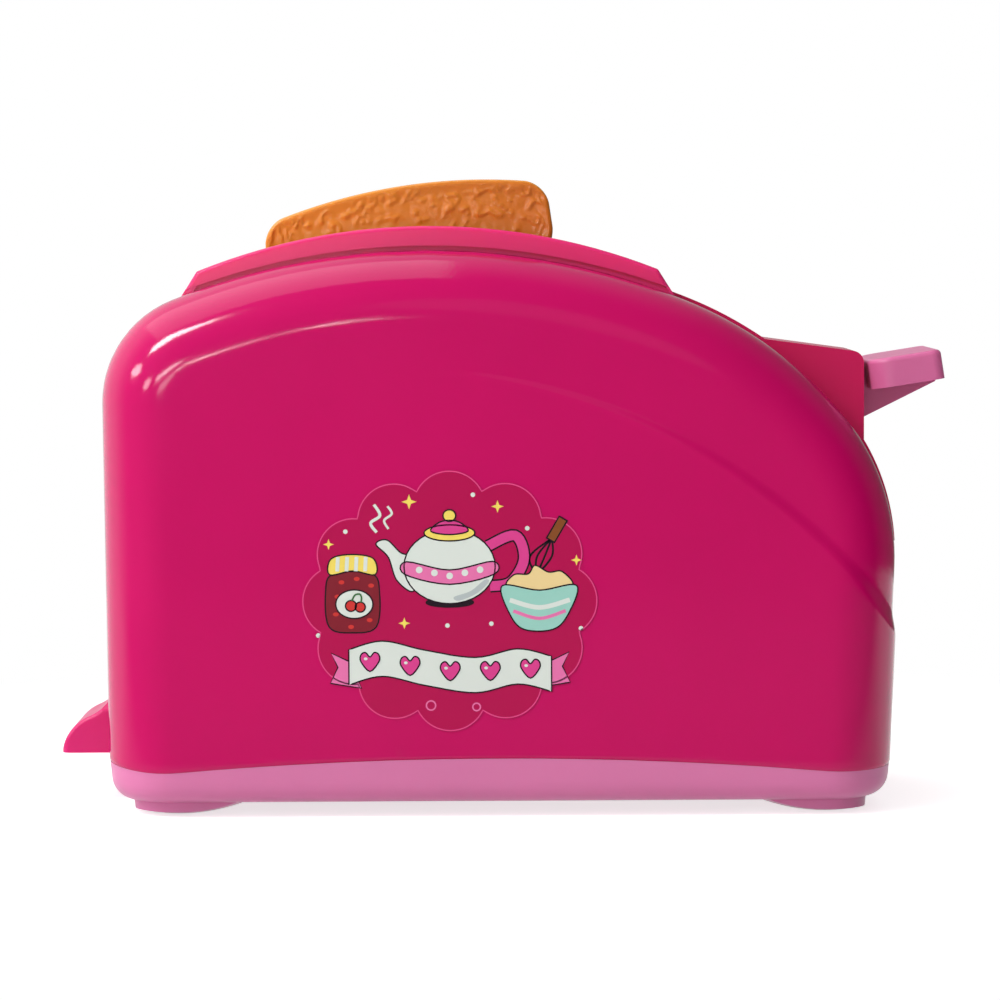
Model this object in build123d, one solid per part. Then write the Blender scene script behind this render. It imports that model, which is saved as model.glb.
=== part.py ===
from build123d import *
from math import asin, atan2, cos, degrees, radians, sin, sqrt, tan
import os

# A toy toaster that pops two plastic slices up. Millimetres, +Z up, the front faces -Y.
# The origin is under the middle of its overall length, on the surface it stands on.
# Two housing halves meet on the plane y = 0 and trap the slot frame and the lever guide.

# ---- housing ----
body_depth = 92.0
wall = 2.0
edge_radius = 16.0            # rounding of the front and rear rims
left_lean = 0.5               # degrees, the left wall leans out towards the top
right_lean = 2.5              # degrees, the right wall leans out towards the top
shoulder_centre = (-69.0, 98.6)
shoulder_radius = 26.5
crown_radius = 167.0
slope_radius = 95.5
nose_radius = 53.5
shoulder_end = 111.5          # degrees, where each arc of the side outline hands on to the next
crown_end = 67.8
slope_end = 39.4
seam_height = 14.4            # top of the arched joint between housing and base
seam_radius = 900.0
seam_middle_x = -2.0
seam_turn_x = (-76.0, 74.0)   # where its ends begin to turn up
seam_end_radii = (60.0, 120.0)
seam_end_sweep = 30.0         # degrees, carries the ends out past the walls
parting_gap = 0.1             # hairline between the two halves
beyond = 200.0                # farther out than any face, for solids that only trim others

# ---- the set-back upper right panel ----
fade_x = -17.5                # where the step begins to grow
relief = 1.4                  # its depth in the front and rear faces at the right end
end_relief = 1.0              # its depth in the right end wall, fading out over the crown
step_centre = (-27.0, -42.4)
step_radius = 149.0

# ---- base ----
base_bottom = 3.5
base_floor = 2.0
base_draft = 6.0
base_edge_radius = 5.5
lip_height = 2.5
lip_thickness = 1.3
lip_clearance = 0.15
foot_x = 77.5
foot_y = 29.0
foot_radius = 17.5
foot_flat_radius = 4.5
foot_margin = 4.7             # from the base's side to the foot's side

# ---- slot frame ----
frame_length = 111.0          # along the rim, between the tops of its slanted ends
frame_width = 52.0
frame_height = 5.8
rim_radius = 150.0
frame_end_slope = 32.0        # degrees, how far the ends lean in
frame_edge_radius = 1.0
groove_height = 1.1           # the set-back round the frame's foot
groove_depth = 0.8
slot_length = 103.0
slot_width = 13.0
slot_pitch = 26.5             # between the two slots
slot_corner = 2.5
chute_wall = 2.0
chute_bottom = 117.0
chute_clearance = 0.2
catch_lip = 1.2               # how far the lugs reach under the housing's wall
frame_lug = 8.0

# ---- lever guide ----
guide_width = 32.0
guide_gap = 2.34              # between the slot frame's foot and the guide
guide_rise = 0.5              # of the band over the housing's full outline
guide_end_z = 63.6
guide_tongue = 28.0           # width that passes through the housing
hood_width = 30.0
hood_face_x = 88.5
hood_top_z = 109.5            # at the face
hood_rise = 7.9               # degrees, the roof falls towards the face
hood_back_x = 60.0
hood_corner = 3.0
hood_wall = 2.0
lever_slot_width = 9.6
lever_slot_bottom = 66.6
lever_slot_top = 106.4
lever_slot_back_x = 68.0
hood_back_z = 98.0            # where the hood's outline dives into the band
hood_foot_z = 87.5
guide_rest = 2.0              # the band's ends rest on the housing by this much
guide_lug_places = ((57.0, 100.0), (78.0, 74.0))
guide_lug = 8.0
guide_lug_rib = 1.0

# ---- pop-up carriage ----
pivot = (-85.0, 46.0)
pivot_pin_radius = 2.0
pivot_pin_length = 34.0
hub_radius = 6.5
hub_width = 12.0
arm_thickness = 5.0
arm_height = 9.0
neck_end_place = (89.1, 101.8)       # where the neck ends, against the paddle
neck_height = 7.4
neck_start_x = 78.0
tab_height = 3.0              # the flat tab that goes on into the paddle
tab_length = 12.5
tab_depth = 2.0               # its cover under the paddle's top
peg_place = (-66.0, 24.0)
tail_width = 6.0
peg_radius = 1.5
peg_length = 17.0
side_gap = 0.4                # between a hub and the bosses beside it
pin_clearance = 0.05
pin_end_gap = 0.2

# ---- slices and their rack ----
slice_tilt = 8.5              # degrees, right side up while raised
slice_foot_place = (-14.4, 87.1)    # middle of a slice's lower edge
slice_width = 69.6
slice_waist = 63.0
slice_height = 64.0
slice_thickness = 9.0
slice_waist_top = 40.0
slice_shoulder = 47.0
slice_crown_radius = 135.0
slice_corner = 5.3
slice_foot_corner = 4.0
slice_edge = 1.2
slice_clearance = 0.5
rack_plate = 2.0
rack_lip = 1.5
rack_lip_height = 5.0
rack_gap = 0.3                # under the slices
rack_post_offsets = (-20.0, 20.0)
rack_post_length = 10.0
rack_post_width = 8.0
post_reach = 60.0             # the posts run down into the arm

# ---- paddle ----
paddle_tilt = 8.8
paddle_corner_place = (106.9, 110.3)   # upper right corner seen from the front
paddle_length = 17.9
paddle_width = 37.0
paddle_thickness = 7.2
paddle_plan_radius = 6.0
paddle_edge = 1.2
rib_width = 8.4
plate_corner = 2.5
rib_heel_place = (89.2, 93.2)
rib_toe_place = (107.0, 102.0)
rib_shoulder = 2.0
neck_fit = 0.1

# ---- release lever ----
release_pivot = (-80.0, 17.0)
release_pin_radius = 1.5
release_pin_length = 30.0
release_hub_radius = 4.5
release_width = 20.0
fin_tip_x = -107.9
fin_bottom = 12.3
fin_top = 27.2
fin_turn_place = (-101.6, 21.1)     # where its upper side turns from hollow to round
fin_width = 29.0
fin_tip_height = 0.8
fin_corner = 2.0              # rounding of its tip, seen from above
fin_crown = 26.0              # radius of its upper side, seen from the tip
fin_edge = 0.9                # rounding of its upper edges
fin_wall_gap = 0.4
fin_back_slant = 0.5          # the fin's back falls away below the pin, so it can tip
fin_hollow = (2.6, -0.6)      # how far the hollow's middle lies from the wall and the mean height
fin_round = 0.9               # bulge of the round part
stem_width = 26.0
stem_bottom = 15.8
stem_top = 24.6
stem_inner_x = -87.0
window_clearance = 0.4
window_bottom = 13.8
prong_width = 3.5
prong_gap = 10.0              # between the two prongs
prong_depth = 3.4
nose_width = 2.6
nose_clearance = 0.4

# ---- springs ----
return_spring_x = -62.0
return_spring_y = 7.0
return_hook_low = 53.0
return_hook_high = 106.0
return_coil_radius = 2.6
return_wire = 0.45
return_turns = 9
wire_sides = 6                # the coils are drawn in hexagonal wire
return_coil_length = 24.0
knuckle_radius = 0.68            # radius of the knuckle where the coil turns into a side hook
spring_peg_radius = 1.9
spring_seat = 0.75            # from the spring's middle plane to the faces beside its loops
release_spring_x = -88.0
release_coil_radius = 2.3
release_wire = 0.4
release_turns = 3.5

# ---- screws ----
boss_radius = 4.4
shell_boss_places = ((-82.0, 104.0), (50.0, 106.0), (80.0, 30.0), (0.0, 28.0), (-83.5, 66.0))
screw_radius = 1.4
screw_head_radius = 2.7
screw_head_height = 1.8
recess_width = 0.8
recess_depth = 0.8
bore_end_gap = 1.0
thread_clearance = 0.02
head_clearance = 0.5
shell_screw_length = 18.0
shell_screw_seat = 8.0        # distance of the head's seat from the parting plane
base_boss_x = 60.0
base_boss_y = 33.0
base_boss_top = 26.0
rib_thickness = 1.6
base_screw_length = 14.0
screw_hole_radius = 1.7
base_seat = 6.4               # height of the base screws' head seats
spring_screw_length = 12.0
rack_screw_length = 8.0
paddle_screw_length = 5.0

# ---- sticker ----
sticker_centre = (-12.3, 52.0)
sticker_length = 70.0
sticker_height = 62.0
sticker_scallops = 12
scallop_radius = 8.6
scallop_inset = 2.0           # the middle oval passes the scallops' centres by this much
sticker_thickness = 0.2

half_depth = body_depth / 2
base_screw_places = [(x, y) for x in (-base_boss_x, base_boss_x) for y in (-base_boss_y, base_boss_y)]


def polar(centre, radius, angle):
    """The point at a radius and an angle in degrees from a centre."""
    return (centre[0] + radius * cos(radians(angle)), centre[1] + radius * sin(radians(angle)))


crown_centre = polar(shoulder_centre, shoulder_radius - crown_radius, shoulder_end)
slope_centre = polar(crown_centre, crown_radius - slope_radius, crown_end)
nose_centre = polar(slope_centre, slope_radius - nose_radius, slope_end)
wall_foot = base_bottom


def left_wall_x(z, inset=0.0):
    """Where the left wall's face is at a height."""
    top = polar(shoulder_centre, shoulder_radius - inset, 180 + left_lean)
    return top[0] + (top[1] - z) * tan(radians(left_lean))


def right_wall_x(z, inset=0.0):
    """Where the right wall's face is at a height."""
    top = polar(nose_centre, nose_radius - inset, -right_lean)
    return top[0] - (top[1] - z) * tan(radians(right_lean))


def side_solid(edges, half_width):
    """A closed side outline, drawn in X and Z, given a width along Y."""
    face = Plane.XZ * make_face(Curve() + edges)
    return extrude(face, amount=half_width, both=True)


def side_prism(points, half_width):
    """A polygon drawn in X and Z, given a width along Y."""
    face = Plane.XZ * make_face(Polyline(*points, close=True))
    return extrude(face, amount=half_width, both=True)


def arc(centre, radius, start, end):
    """An arc of the side outline between two angles in degrees."""
    return CenterArc(centre, radius, start, end - start)


def cylinder_y(place, radius, low, high):
    """A round bar along Y at a place in the side view."""
    bar = Cylinder(radius, high - low, rotation=(90, 0, 0))
    return Pos(place[0], (low + high) / 2, place[1]) * bar


def cylinder_z(x, y, radius, low, high):
    """An upright round bar."""
    return Pos(x, y, (low + high) / 2) * Cylinder(radius, high - low)


def box_between(low, high):
    """A box given by two opposite corners."""
    size = [b - a for a, b in zip(low, high)]
    middle = [(a + b) / 2 for a, b in zip(low, high)]
    return Pos(*middle) * Box(*size)


def rims(form, reach, left_limit):
    """The long edges round the front and rear faces of a form."""
    return form.edges().filter_by(
        lambda e: abs(e.center().Y) > reach
        and e.center().Z > wall_foot + 1
        and e.center().X > left_limit
    )


def full_outline(inset):
    """Side outline of the housing: two leaning walls and four arcs that run into each other."""
    start = polar(shoulder_centre, shoulder_radius - inset, 180 + left_lean)
    end = polar(nose_centre, nose_radius - inset, -right_lean)
    low_left = (left_wall_x(wall_foot, inset), wall_foot)
    low_right = (right_wall_x(wall_foot, inset), wall_foot)
    return [
        Line(low_left, start),
        arc(shoulder_centre, shoulder_radius - inset, 180 + left_lean, shoulder_end),
        arc(crown_centre, crown_radius - inset, shoulder_end, crown_end),
        arc(slope_centre, slope_radius - inset, crown_end, slope_end),
        arc(nose_centre, nose_radius - inset, slope_end, -right_lean),
        Line(end, low_right),
        Line(low_right, low_left),
    ]


def full_form(inset):
    """The housing's form without the set-back panel."""
    form = side_solid(full_outline(inset), half_depth - inset)
    return fillet(rims(form, half_depth - inset - 0.1, -1000), edge_radius - inset)


def relief_form(inset):
    """The right part of the form, which sinks by the relief from fade_x to the right end."""
    apex = crown_centre[1] + crown_radius - inset
    low_slope = (slope_centre[0] - end_relief, slope_centre[1])
    low_slope_radius = slope_radius - inset
    low_nose = (nose_centre[0] - end_relief, nose_centre[1])
    # radius of the arc that leaves the crown at fade_x and runs into the slope, moved inwards
    run = low_slope[0] - fade_x
    drop = apex - low_slope[1]
    start_radius = (run**2 + drop**2 - low_slope_radius**2) / (2 * (drop - low_slope_radius))
    start_centre = (fade_x, apex - start_radius)
    join = Vector(low_slope[0] - start_centre[0], low_slope[1] - start_centre[1])
    join_angle = Vector(1, 0).get_signed_angle(join, Vector(0, 0, 1))
    end = polar(low_nose, nose_radius - inset, -right_lean)
    low_right = (end[0] - (end[1] - wall_foot) * tan(radians(right_lean)), wall_foot)
    outline = [
        Line((fade_x, wall_foot), (fade_x, apex)),
        arc(start_centre, start_radius, 90, join_angle),
        arc(low_slope, low_slope_radius, join_angle, slope_end),
        arc(low_nose, nose_radius - inset, slope_end, -right_lean),
        Line(end, low_right),
        Line(low_right, (fade_x, wall_foot)),
    ]
    deep = half_depth - inset
    shallow = deep - relief
    far = low_right[0] + 10
    plan = Polyline((fade_x, -deep), (far, -shallow), (far, shallow), (fade_x, deep), close=True)
    prism = extrude(make_face(plan), amount=apex + 10)
    form = side_solid(outline, half_depth) & prism
    return fillet(rims(form, shallow - 0.1, fade_x + 1), edge_radius - inset)


def housing_form(inset):
    """The housing's form with the panel set back above and right of the curved, slanted step."""
    deep = half_depth - inset
    step = cylinder_y(step_centre, step_radius + relief - inset, -deep, deep)
    step = chamfer(step.edges().filter_by(GeomType.CIRCLE), relief)
    zone = box_between((fade_x, -body_depth, 0), (beyond, body_depth, beyond)) - step
    return (full_form(inset) - zone) + (relief_form(inset) & zone)


def below_seam(raise_by=0.0):
    """Everything under the joint between housing and base: an arch with ends that turn up."""
    centre = (seam_middle_x, seam_height - seam_radius + raise_by)
    turns = [90 + degrees(asin((seam_middle_x - x) / seam_radius)) for x in seam_turn_x]
    ends = [polar(centre, seam_radius + r, turn) for r, turn in zip(seam_end_radii, turns)]
    left = polar(ends[0], seam_end_radii[0], turns[0] - 180 - seam_end_sweep)
    right = polar(ends[1], seam_end_radii[1], turns[1] - 180 + seam_end_sweep)
    sides = [
        arc(ends[0], seam_end_radii[0], turns[0] - 180 - seam_end_sweep, turns[0] - 180),
        arc(centre, seam_radius, turns[0], turns[1]),
        arc(ends[1], seam_end_radii[1], turns[1] - 180, turns[1] - 180 + seam_end_sweep),
        Line(right, (right[0], -beyond)),
        Line((right[0], -beyond), (left[0], -beyond)),
        Line((left[0], -beyond), left),
    ]
    return side_solid(sides, body_depth)


def strip(outer_inset, inner_inset, half_width):
    """A layer that follows the side outline between two insets."""
    outside = side_solid(full_outline(outer_inset), half_width)
    inside = side_solid(full_outline(inner_inset), half_width + 1)
    return outside - inside


# ---- shared places ----
outer_form = housing_form(0)
inner_form = housing_form(wall)
boss_limit = housing_form(wall / 2)
slot_y = slot_pitch / 2
frame_middle = crown_centre[0]
crown_top = crown_centre[1] + crown_radius
rim_top = crown_top + frame_height
frame_foot_x = frame_middle + frame_length / 2 + frame_height * tan(radians(frame_end_slope))
guide_start_x = frame_foot_x + guide_gap
chute_length = slot_length + 2 * chute_wall
chute_width = slot_pitch + slot_width + 2 * chute_wall


def slot_frame_opening():
    """The hole in the top of the housing for the chutes."""
    half_x = chute_length / 2 + chute_clearance
    half_y = chute_width / 2 + chute_clearance
    low = (frame_middle - half_x, -half_y, chute_bottom)
    high = (frame_middle + half_x, half_y, rim_top)
    return box_between(low, high)


def lever_guide_zone():
    """The part of the side view that the lever guide covers."""
    return box_between((guide_start_x, -body_depth, guide_end_z), (beyond, body_depth, beyond))


def lever_guide_opening():
    """The hole in the right of the housing for the lever guide's tongue."""
    half = guide_tongue / 2 + chute_clearance
    low = (guide_start_x + guide_rest, -half, guide_end_z + guide_rest)
    return box_between(low, (beyond, half, beyond))


def release_window():
    """The hole in the left wall for the release lever's stem."""
    half = stem_width / 2 + window_clearance
    top = stem_top + window_clearance
    inner = left_wall_x(0) + 3 * wall
    return box_between((-beyond, -half, window_bottom), (inner, half, top))


def shell_bosses():
    """Bosses along Y for the screws that draw the two halves together."""
    return [cylinder_y(place, boss_radius, -half_depth, half_depth) for place in shell_boss_places]


def pin_bosses():
    """Bosses that hold both pivot pins from either side."""
    hub_edge = hub_width / 2 + side_gap
    release_edge = release_width / 2 + side_gap
    bars = []
    for side in (-1, 1):
        for place, radius, edge in (
            (pivot, pivot_pin_radius, hub_edge),
            (release_pivot, release_pin_radius, release_edge),
        ):
            low, high = sorted((side * edge, side * half_depth))
            bars.append(cylinder_y(place, radius + wall, low, high))
    return bars


def spring_boss():
    """The boss in the rear half that the return spring's screw goes into."""
    start = return_spring_y + spring_seat
    return cylinder_y((return_spring_x, return_hook_high), boss_radius, start, half_depth)


def base_bosses():
    """Upright bosses, ribbed to the walls, for the screws that hold the base."""
    low = base_seat + wall
    rib_low = seam_height + lip_height + side_gap
    bars = []
    for x, y in base_screw_places:
        bars.append(cylinder_z(x, y, boss_radius, low, base_boss_top))
        near, far = sorted((y, y / abs(y) * half_depth))
        half = rib_thickness / 2
        bars.append(box_between((x - half, near, rib_low), (x + half, far, base_boss_top)))
    return bars


def housing():
    """Both halves in one piece, before they are parted."""
    shell = outer_form - inner_form - below_seam()
    shell -= slot_frame_opening()
    shell -= lever_guide_opening()
    shell -= release_window()
    bosses = Part() + shell_bosses() + pin_bosses() + [spring_boss()]
    shell += bosses & boss_limit
    shell += (Part() + base_bosses()) & boss_limit
    for place, radius, length in (
        (pivot, pivot_pin_radius, pivot_pin_length),
        (release_pivot, release_pin_radius, release_pin_length),
    ):
        half_length = length / 2 + pin_end_gap
        shell -= cylinder_y(place, radius + pin_clearance, -half_length, half_length)
    bore = screw_radius + thread_clearance
    for place in shell_boss_places:
        tip = shell_screw_seat - shell_screw_length - bore_end_gap
        shell -= cylinder_y(place, bore, tip, half_depth)
        shell -= cylinder_y(place, screw_head_radius + head_clearance, shell_screw_seat, body_depth)
    hook = (return_spring_x, return_hook_high)
    shell -= cylinder_y(hook, bore, 0, return_spring_y + spring_screw_length)
    for x, y in base_screw_places:
        shell -= cylinder_z(x, y, bore, 0, base_seat + base_screw_length + bore_end_gap)
    return shell


def housing_halves():
    """Front and rear shells, parted on the plane y = 0."""
    whole = housing()
    half_gap = parting_gap / 2
    front_side = box_between((-beyond, -beyond, -beyond), (beyond, -half_gap, beyond))
    rear_side = box_between((-beyond, half_gap, -beyond), (beyond, beyond, beyond))
    return whole & front_side, whole & rear_side


def base_block(inset, height):
    """The base's drafted form from the seam's top down, shrunk by inset."""
    low_x = left_wall_x(seam_height) + inset
    high_x = right_wall_x(seam_height) - inset
    top = Plane(origin=((low_x + high_x) / 2, 0, seam_height), z_dir=(0, 0, -1))
    outline = RectangleRounded(high_x - low_x, body_depth - 2 * inset, edge_radius - inset)
    return extrude(top * outline, amount=height, taper=base_draft)


def plan_prism(inset, low, high):
    """An upright prism on the housing's plan where the seam is lowest, shrunk by inset."""
    reach = seam_turn_x[1] - seam_middle_x
    seam_end = seam_height - seam_radius + sqrt(seam_radius**2 - reach**2)
    low_x = left_wall_x(seam_end) + inset
    high_x = right_wall_x(seam_end) - inset
    outline = RectangleRounded(high_x - low_x, body_depth - 2 * inset, edge_radius - inset)
    return extrude(Pos((low_x + high_x) / 2, 0, low) * outline, amount=high - low)


def foot_domes():
    """Shallow domes under the base's corners, flat where they rest and cut off by the base's sides."""
    sphere_radius = (foot_radius**2 + base_bottom**2) / (2 * base_bottom)
    flat_drop = sphere_radius - sqrt(sphere_radius**2 - foot_flat_radius**2)
    ball = Pos(0, 0, sphere_radius - flat_drop) * Sphere(sphere_radius)
    domes = [Pos(x, y, 0) * ball for x in (-foot_x, foot_x) for y in (-foot_y, foot_y)]
    top = base_bottom + base_floor / 2
    layer = box_between((-beyond, -beyond, 0), (beyond, beyond, top))
    return (Part() + domes) & base_block(foot_margin, seam_height + 1) & layer


def base():
    """The tray that closes the housing from below, with four domed feet and a lip inside the wall."""
    height = seam_height - base_bottom
    block = base_block(0, height)
    block = fillet(block.faces().sort_by(Axis.Z)[0].edges(), base_edge_radius)
    hollow = base_block(wall, height - base_floor)
    hollow = fillet(hollow.faces().sort_by(Axis.Z)[0].edges(), base_edge_radius - wall)
    tray = (block - hollow) & below_seam()
    floor_top = base_bottom + base_floor
    lip_inset = wall + lip_clearance
    lip_top = seam_height + lip_height
    lip = plan_prism(lip_inset, floor_top, lip_top) - plan_prism(lip_inset + lip_thickness, 0, lip_top + 1)
    lip = lip & below_seam(lip_height)
    notch = stem_width / 2 + wall
    lip -= box_between((-beyond, -notch, floor_top), (left_wall_x(0) + 3 * wall, notch, beyond))
    for side in (-1, 1):
        low, high = sorted((0, side * body_depth))
        lip -= cylinder_y(release_pivot, release_pin_radius + wall + lip_clearance, low, high)
    stand_top = base_seat + wall
    tray += lip
    tray += foot_domes()
    for x, y in base_screw_places:
        tray += cylinder_z(x, y, boss_radius, base_bottom, stand_top)
        tray -= cylinder_z(x, y, screw_head_radius + head_clearance, 0, base_seat)
        tray -= cylinder_z(x, y, screw_hole_radius, 0, stand_top + 1)
    spigot = release_coil_radius - 2 * release_wire
    tray += cylinder_z(release_spring_x, 0, spigot, base_bottom + 1, floor_top + 2)
    return tray


def rim_outline(inset=0.0):
    """Side outline of the slot frame: a shallower arc than the housing's, with slanted ends."""
    centre = (frame_middle, rim_top - rim_radius)
    half_length = frame_length / 2 - inset / cos(radians(frame_end_slope))
    spread = degrees(asin(half_length / rim_radius))
    left = polar(centre, rim_radius, 90 + spread)
    right = polar(centre, rim_radius, 90 - spread)
    run = (left[1] - chute_bottom) * tan(radians(frame_end_slope))
    low_left = (left[0] - run, chute_bottom)
    low_right = (right[0] + run, chute_bottom)
    return [
        Line(low_left, left),
        arc(centre, rim_radius, 90 + spread, 90 - spread),
        Line(right, low_right),
        Line(low_right, low_left),
    ]


def slot_frame():
    """The raised frame round both bread slots, with chutes that hang into the housing."""
    rim = side_solid(rim_outline(), frame_width / 2)
    top_edges = rim.edges().filter_by(lambda e: e.center().Z > chute_bottom + 1)
    rim = fillet(top_edges, frame_edge_radius)
    half_x = chute_length / 2
    half_y = chute_width / 2
    low = (frame_middle - half_x, -half_y, chute_bottom)
    chutes = box_between(low, (frame_middle + half_x, half_y, rim_top))
    foot_layer = side_solid(full_outline(-groove_height), half_depth)
    groove = foot_layer - side_solid(rim_outline(groove_depth), frame_width / 2 - groove_depth)
    frame = (rim - outer_form - groove) + (chutes & rim)
    under_wall = Pos(0, 0, -parting_gap) * inner_form
    for x in (frame_middle - slot_length / 3, frame_middle, frame_middle + slot_length / 3):
        low = (x - frame_lug / 2, -half_y - catch_lip, chute_bottom + frame_lug / 2)
        frame += box_between(low, (x + frame_lug / 2, half_y + catch_lip, rim_top)) & under_wall
    for y in (-slot_y, slot_y):
        slot = RectangleRounded(slot_length, slot_width, slot_corner)
        slot = Pos(frame_middle, y, chute_bottom - wall) * slot
        frame -= extrude(slot, amount=rim_top)
    core_half = slot_y - slot_width / 2 - chute_wall
    core = Pos(0, 0, -chute_wall - frame_edge_radius) * side_solid(rim_outline(), core_half)
    core_reach = half_x - wall
    low = (frame_middle - core_reach, -core_half, 0)
    return frame - (core & box_between(low, (frame_middle + core_reach, core_half, rim_top)))


def hood_form(inset):
    """The hood over the lever, shrunk by inset and still closed towards the housing."""
    face = hood_face_x - inset
    fall = tan(radians(hood_rise))
    roof = hood_top_z - inset + inset * fall
    back = hood_back_x + inset
    roof_back = roof + (face - back) * fall
    points = [(back, hood_back_z), (back, roof_back), (face, roof), (face, hood_foot_z)]
    return side_prism(points, hood_width / 2 - inset)


def lever_guide():
    """The raised band down the right end with a hood over the raised lever and a slot for the arm."""
    zone = lever_guide_zone()
    band = (side_solid(full_outline(-guide_rise), guide_width / 2) & zone) - outer_form
    tongue = strip(0, relief + 2 * wall, guide_tongue / 2) & lever_guide_tongue_zone()
    tongue -= strip(relief + wall, relief + 3 * wall, guide_tongue / 2 - wall)
    hood = hood_form(0)
    corner = hood.edges().filter_by(Axis.Y).sort_by(lambda e: e.center().X + e.center().Z)[-1]
    hood = fillet(corner, hood_corner)
    hood -= side_solid(full_outline(0), body_depth)
    guide = band + tongue + hood - hood_form(hood_wall)
    half_slot = lever_slot_width / 2
    low = (lever_slot_back_x, -half_slot, lever_slot_bottom)
    guide -= box_between(low, (beyond, half_slot, lever_slot_top))
    half = guide_tongue / 2 + catch_lip
    under_wall = Pos(-parting_gap, 0, -parting_gap) * inner_form
    layer = strip(wall, relief + 2 * wall, half) & under_wall & lever_guide_tongue_zone()
    rib = guide_tongue / 2 - guide_lug_rib
    layer -= box_between((0, -rib, 0), (beyond, rib, beyond))
    for x, z in guide_lug_places:
        guide += layer & box_between((x, -half, z), (beyond, half, z + guide_lug))
    return guide


def lever_guide_tongue_zone():
    """Where the tongue lies inside its opening."""
    margin = guide_rest + chute_clearance
    low = (guide_start_x + margin, -body_depth, guide_end_z + margin)
    return box_between(low, (beyond, body_depth, beyond))


def in_slice_frame(solid):
    """Places a solid drawn upright at the origin under the tilt of the raised slices."""
    return Location((slice_foot_place[0], 0, slice_foot_place[1]), (0, -slice_tilt, 0)) * solid


def slice_outline():
    """A slice of toast: straight sides, wider shoulders and a crown with a slow curve."""
    half = slice_width / 2
    waist = slice_waist / 2
    crown = (0, slice_height - slice_crown_radius)
    spread = degrees(asin(half / slice_crown_radius))
    top_left = polar(crown, slice_crown_radius, 90 + spread)
    top_right = polar(crown, slice_crown_radius, 90 - spread)
    return [
        Line((-waist, 0), (-waist, slice_waist_top)),
        Line((-waist, slice_waist_top), (-half, slice_shoulder)),
        Line((-half, slice_shoulder), top_left),
        arc(crown, slice_crown_radius, 90 + spread, 90 - spread),
        Line(top_right, (half, slice_shoulder)),
        Line((half, slice_shoulder), (waist, slice_waist_top)),
        Line((waist, slice_waist_top), (waist, 0)),
        Line((waist, 0), (-waist, 0)),
    ]


def toast(side):
    """One slice in its slot: side is -1 for the front one and 1 for the rear one."""
    slice_solid = side_solid(slice_outline(), slice_thickness / 2)
    uprights = slice_solid.edges().filter_by(Axis.Y)
    low = uprights.filter_by(lambda e: e.center().Z < 1)
    slice_solid = fillet(low, slice_foot_corner)
    high = slice_solid.edges().filter_by(Axis.Y).sort_by(Axis.Z)[-2:]
    slice_solid = fillet(high, slice_corner)
    rim_edges = slice_solid.edges().filter_by(lambda e: abs(e.center().Y) > slice_thickness / 2 - 0.01)
    slice_solid = fillet(rim_edges, slice_edge)
    return in_slice_frame(Pos(0, side * slot_y, 0) * slice_solid)


def toast_rack():
    """Two trays that carry the slices, joined by a plate over the arm."""
    long_in = slice_waist + 2 * slice_clearance
    wide_in = slice_thickness + 2 * slice_clearance
    height = rack_plate + rack_lip_height
    low = -rack_gap - rack_plate
    rack = Part()
    for y in (-slot_y, slot_y):
        tray = Box(long_in + 2 * rack_lip, wide_in + 2 * rack_lip, height)
        pocket = Pos(0, 0, rack_plate) * Box(long_in, wide_in, height)
        rack += Pos(0, y, low + height / 2) * (tray - pocket)
    rack += Pos(0, 0, low + rack_plate / 2) * Box(long_in + 2 * rack_lip, slot_pitch - wide_in, rack_plate)
    for x in rack_post_offsets:
        rack -= cylinder_z(x, 0, screw_hole_radius, low - rack_gap, rack_gap)
    return in_slice_frame(rack)


def in_arm_frame(solid):
    """Places a solid drawn along X from the origin along the arm, from the pivot outwards."""
    return Location((pivot[0], 0, pivot[1]), (0, -arm_angle, 0)) * solid


def carriage_arm():
    """The lever that swings on the pivot pin, carries the rack and reaches out through the slot."""
    neck_at = (neck_start_x - pivot[0]) / cos(radians(arm_angle))
    half = arm_thickness / 2
    bar = box_between((0, -half, -arm_height / 2), (neck_at, half, arm_height / 2))
    neck = box_between((neck_at - 1, -half, -neck_height / 2), (arm_length, half, neck_height / 2))
    arm = in_arm_frame(bar + neck)
    posts = Part()
    post_half = rack_post_width / 2
    for x in rack_post_offsets:
        reach = rack_post_length / 2
        low = (x - reach, -post_half, -post_reach)
        posts += box_between(low, (x + reach, post_half, -rack_gap - rack_plate))
    above_arm = in_arm_frame(box_between((0, -half_depth, 0), (arm_length, half_depth, beyond)))
    arm += in_slice_frame(posts) & above_arm
    arm += tail_bar()
    arm += cylinder_y(pivot, hub_radius, -hub_width / 2, hub_width / 2)
    arm += cylinder_y(peg_place, peg_radius, -peg_length / 2, peg_length / 2)
    spring_peg = (return_spring_x, return_hook_low)
    arm += cylinder_y(spring_peg, spring_peg_radius, 0, return_spring_y + 2 * spring_seat)
    arm -= cylinder_y(pivot, pivot_pin_radius + pin_clearance, -hub_width, hub_width)
    for x in rack_post_offsets:
        bore = cylinder_z(x, 0, screw_radius + thread_clearance, -rack_screw_length - bore_end_gap, 0)
        arm -= in_slice_frame(bore)
    return arm + paddle_tab(0) - in_paddle_frame(paddle_screw_bore(screw_radius + thread_clearance))


def paddle_tab(clearance):
    """The arm's tab inside the paddle, or with a clearance, the socket for it."""
    half = arm_thickness / 2 + clearance
    top = -tab_depth + clearance
    bottom = -tab_depth - tab_height - clearance
    back = -paddle_length - wall
    front = -paddle_length + tab_length + clearance
    return in_paddle_frame(box_between((back, -half, bottom), (front, half, top)))


def paddle_screw_bore(radius):
    """The bore for the paddle's screw, drawn in the paddle's frame."""
    top = paddle_screw_seat + paddle_screw_length + pin_end_gap
    return cylinder_z(paddle_screw_x, 0, radius, -paddle_thickness, top)


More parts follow.
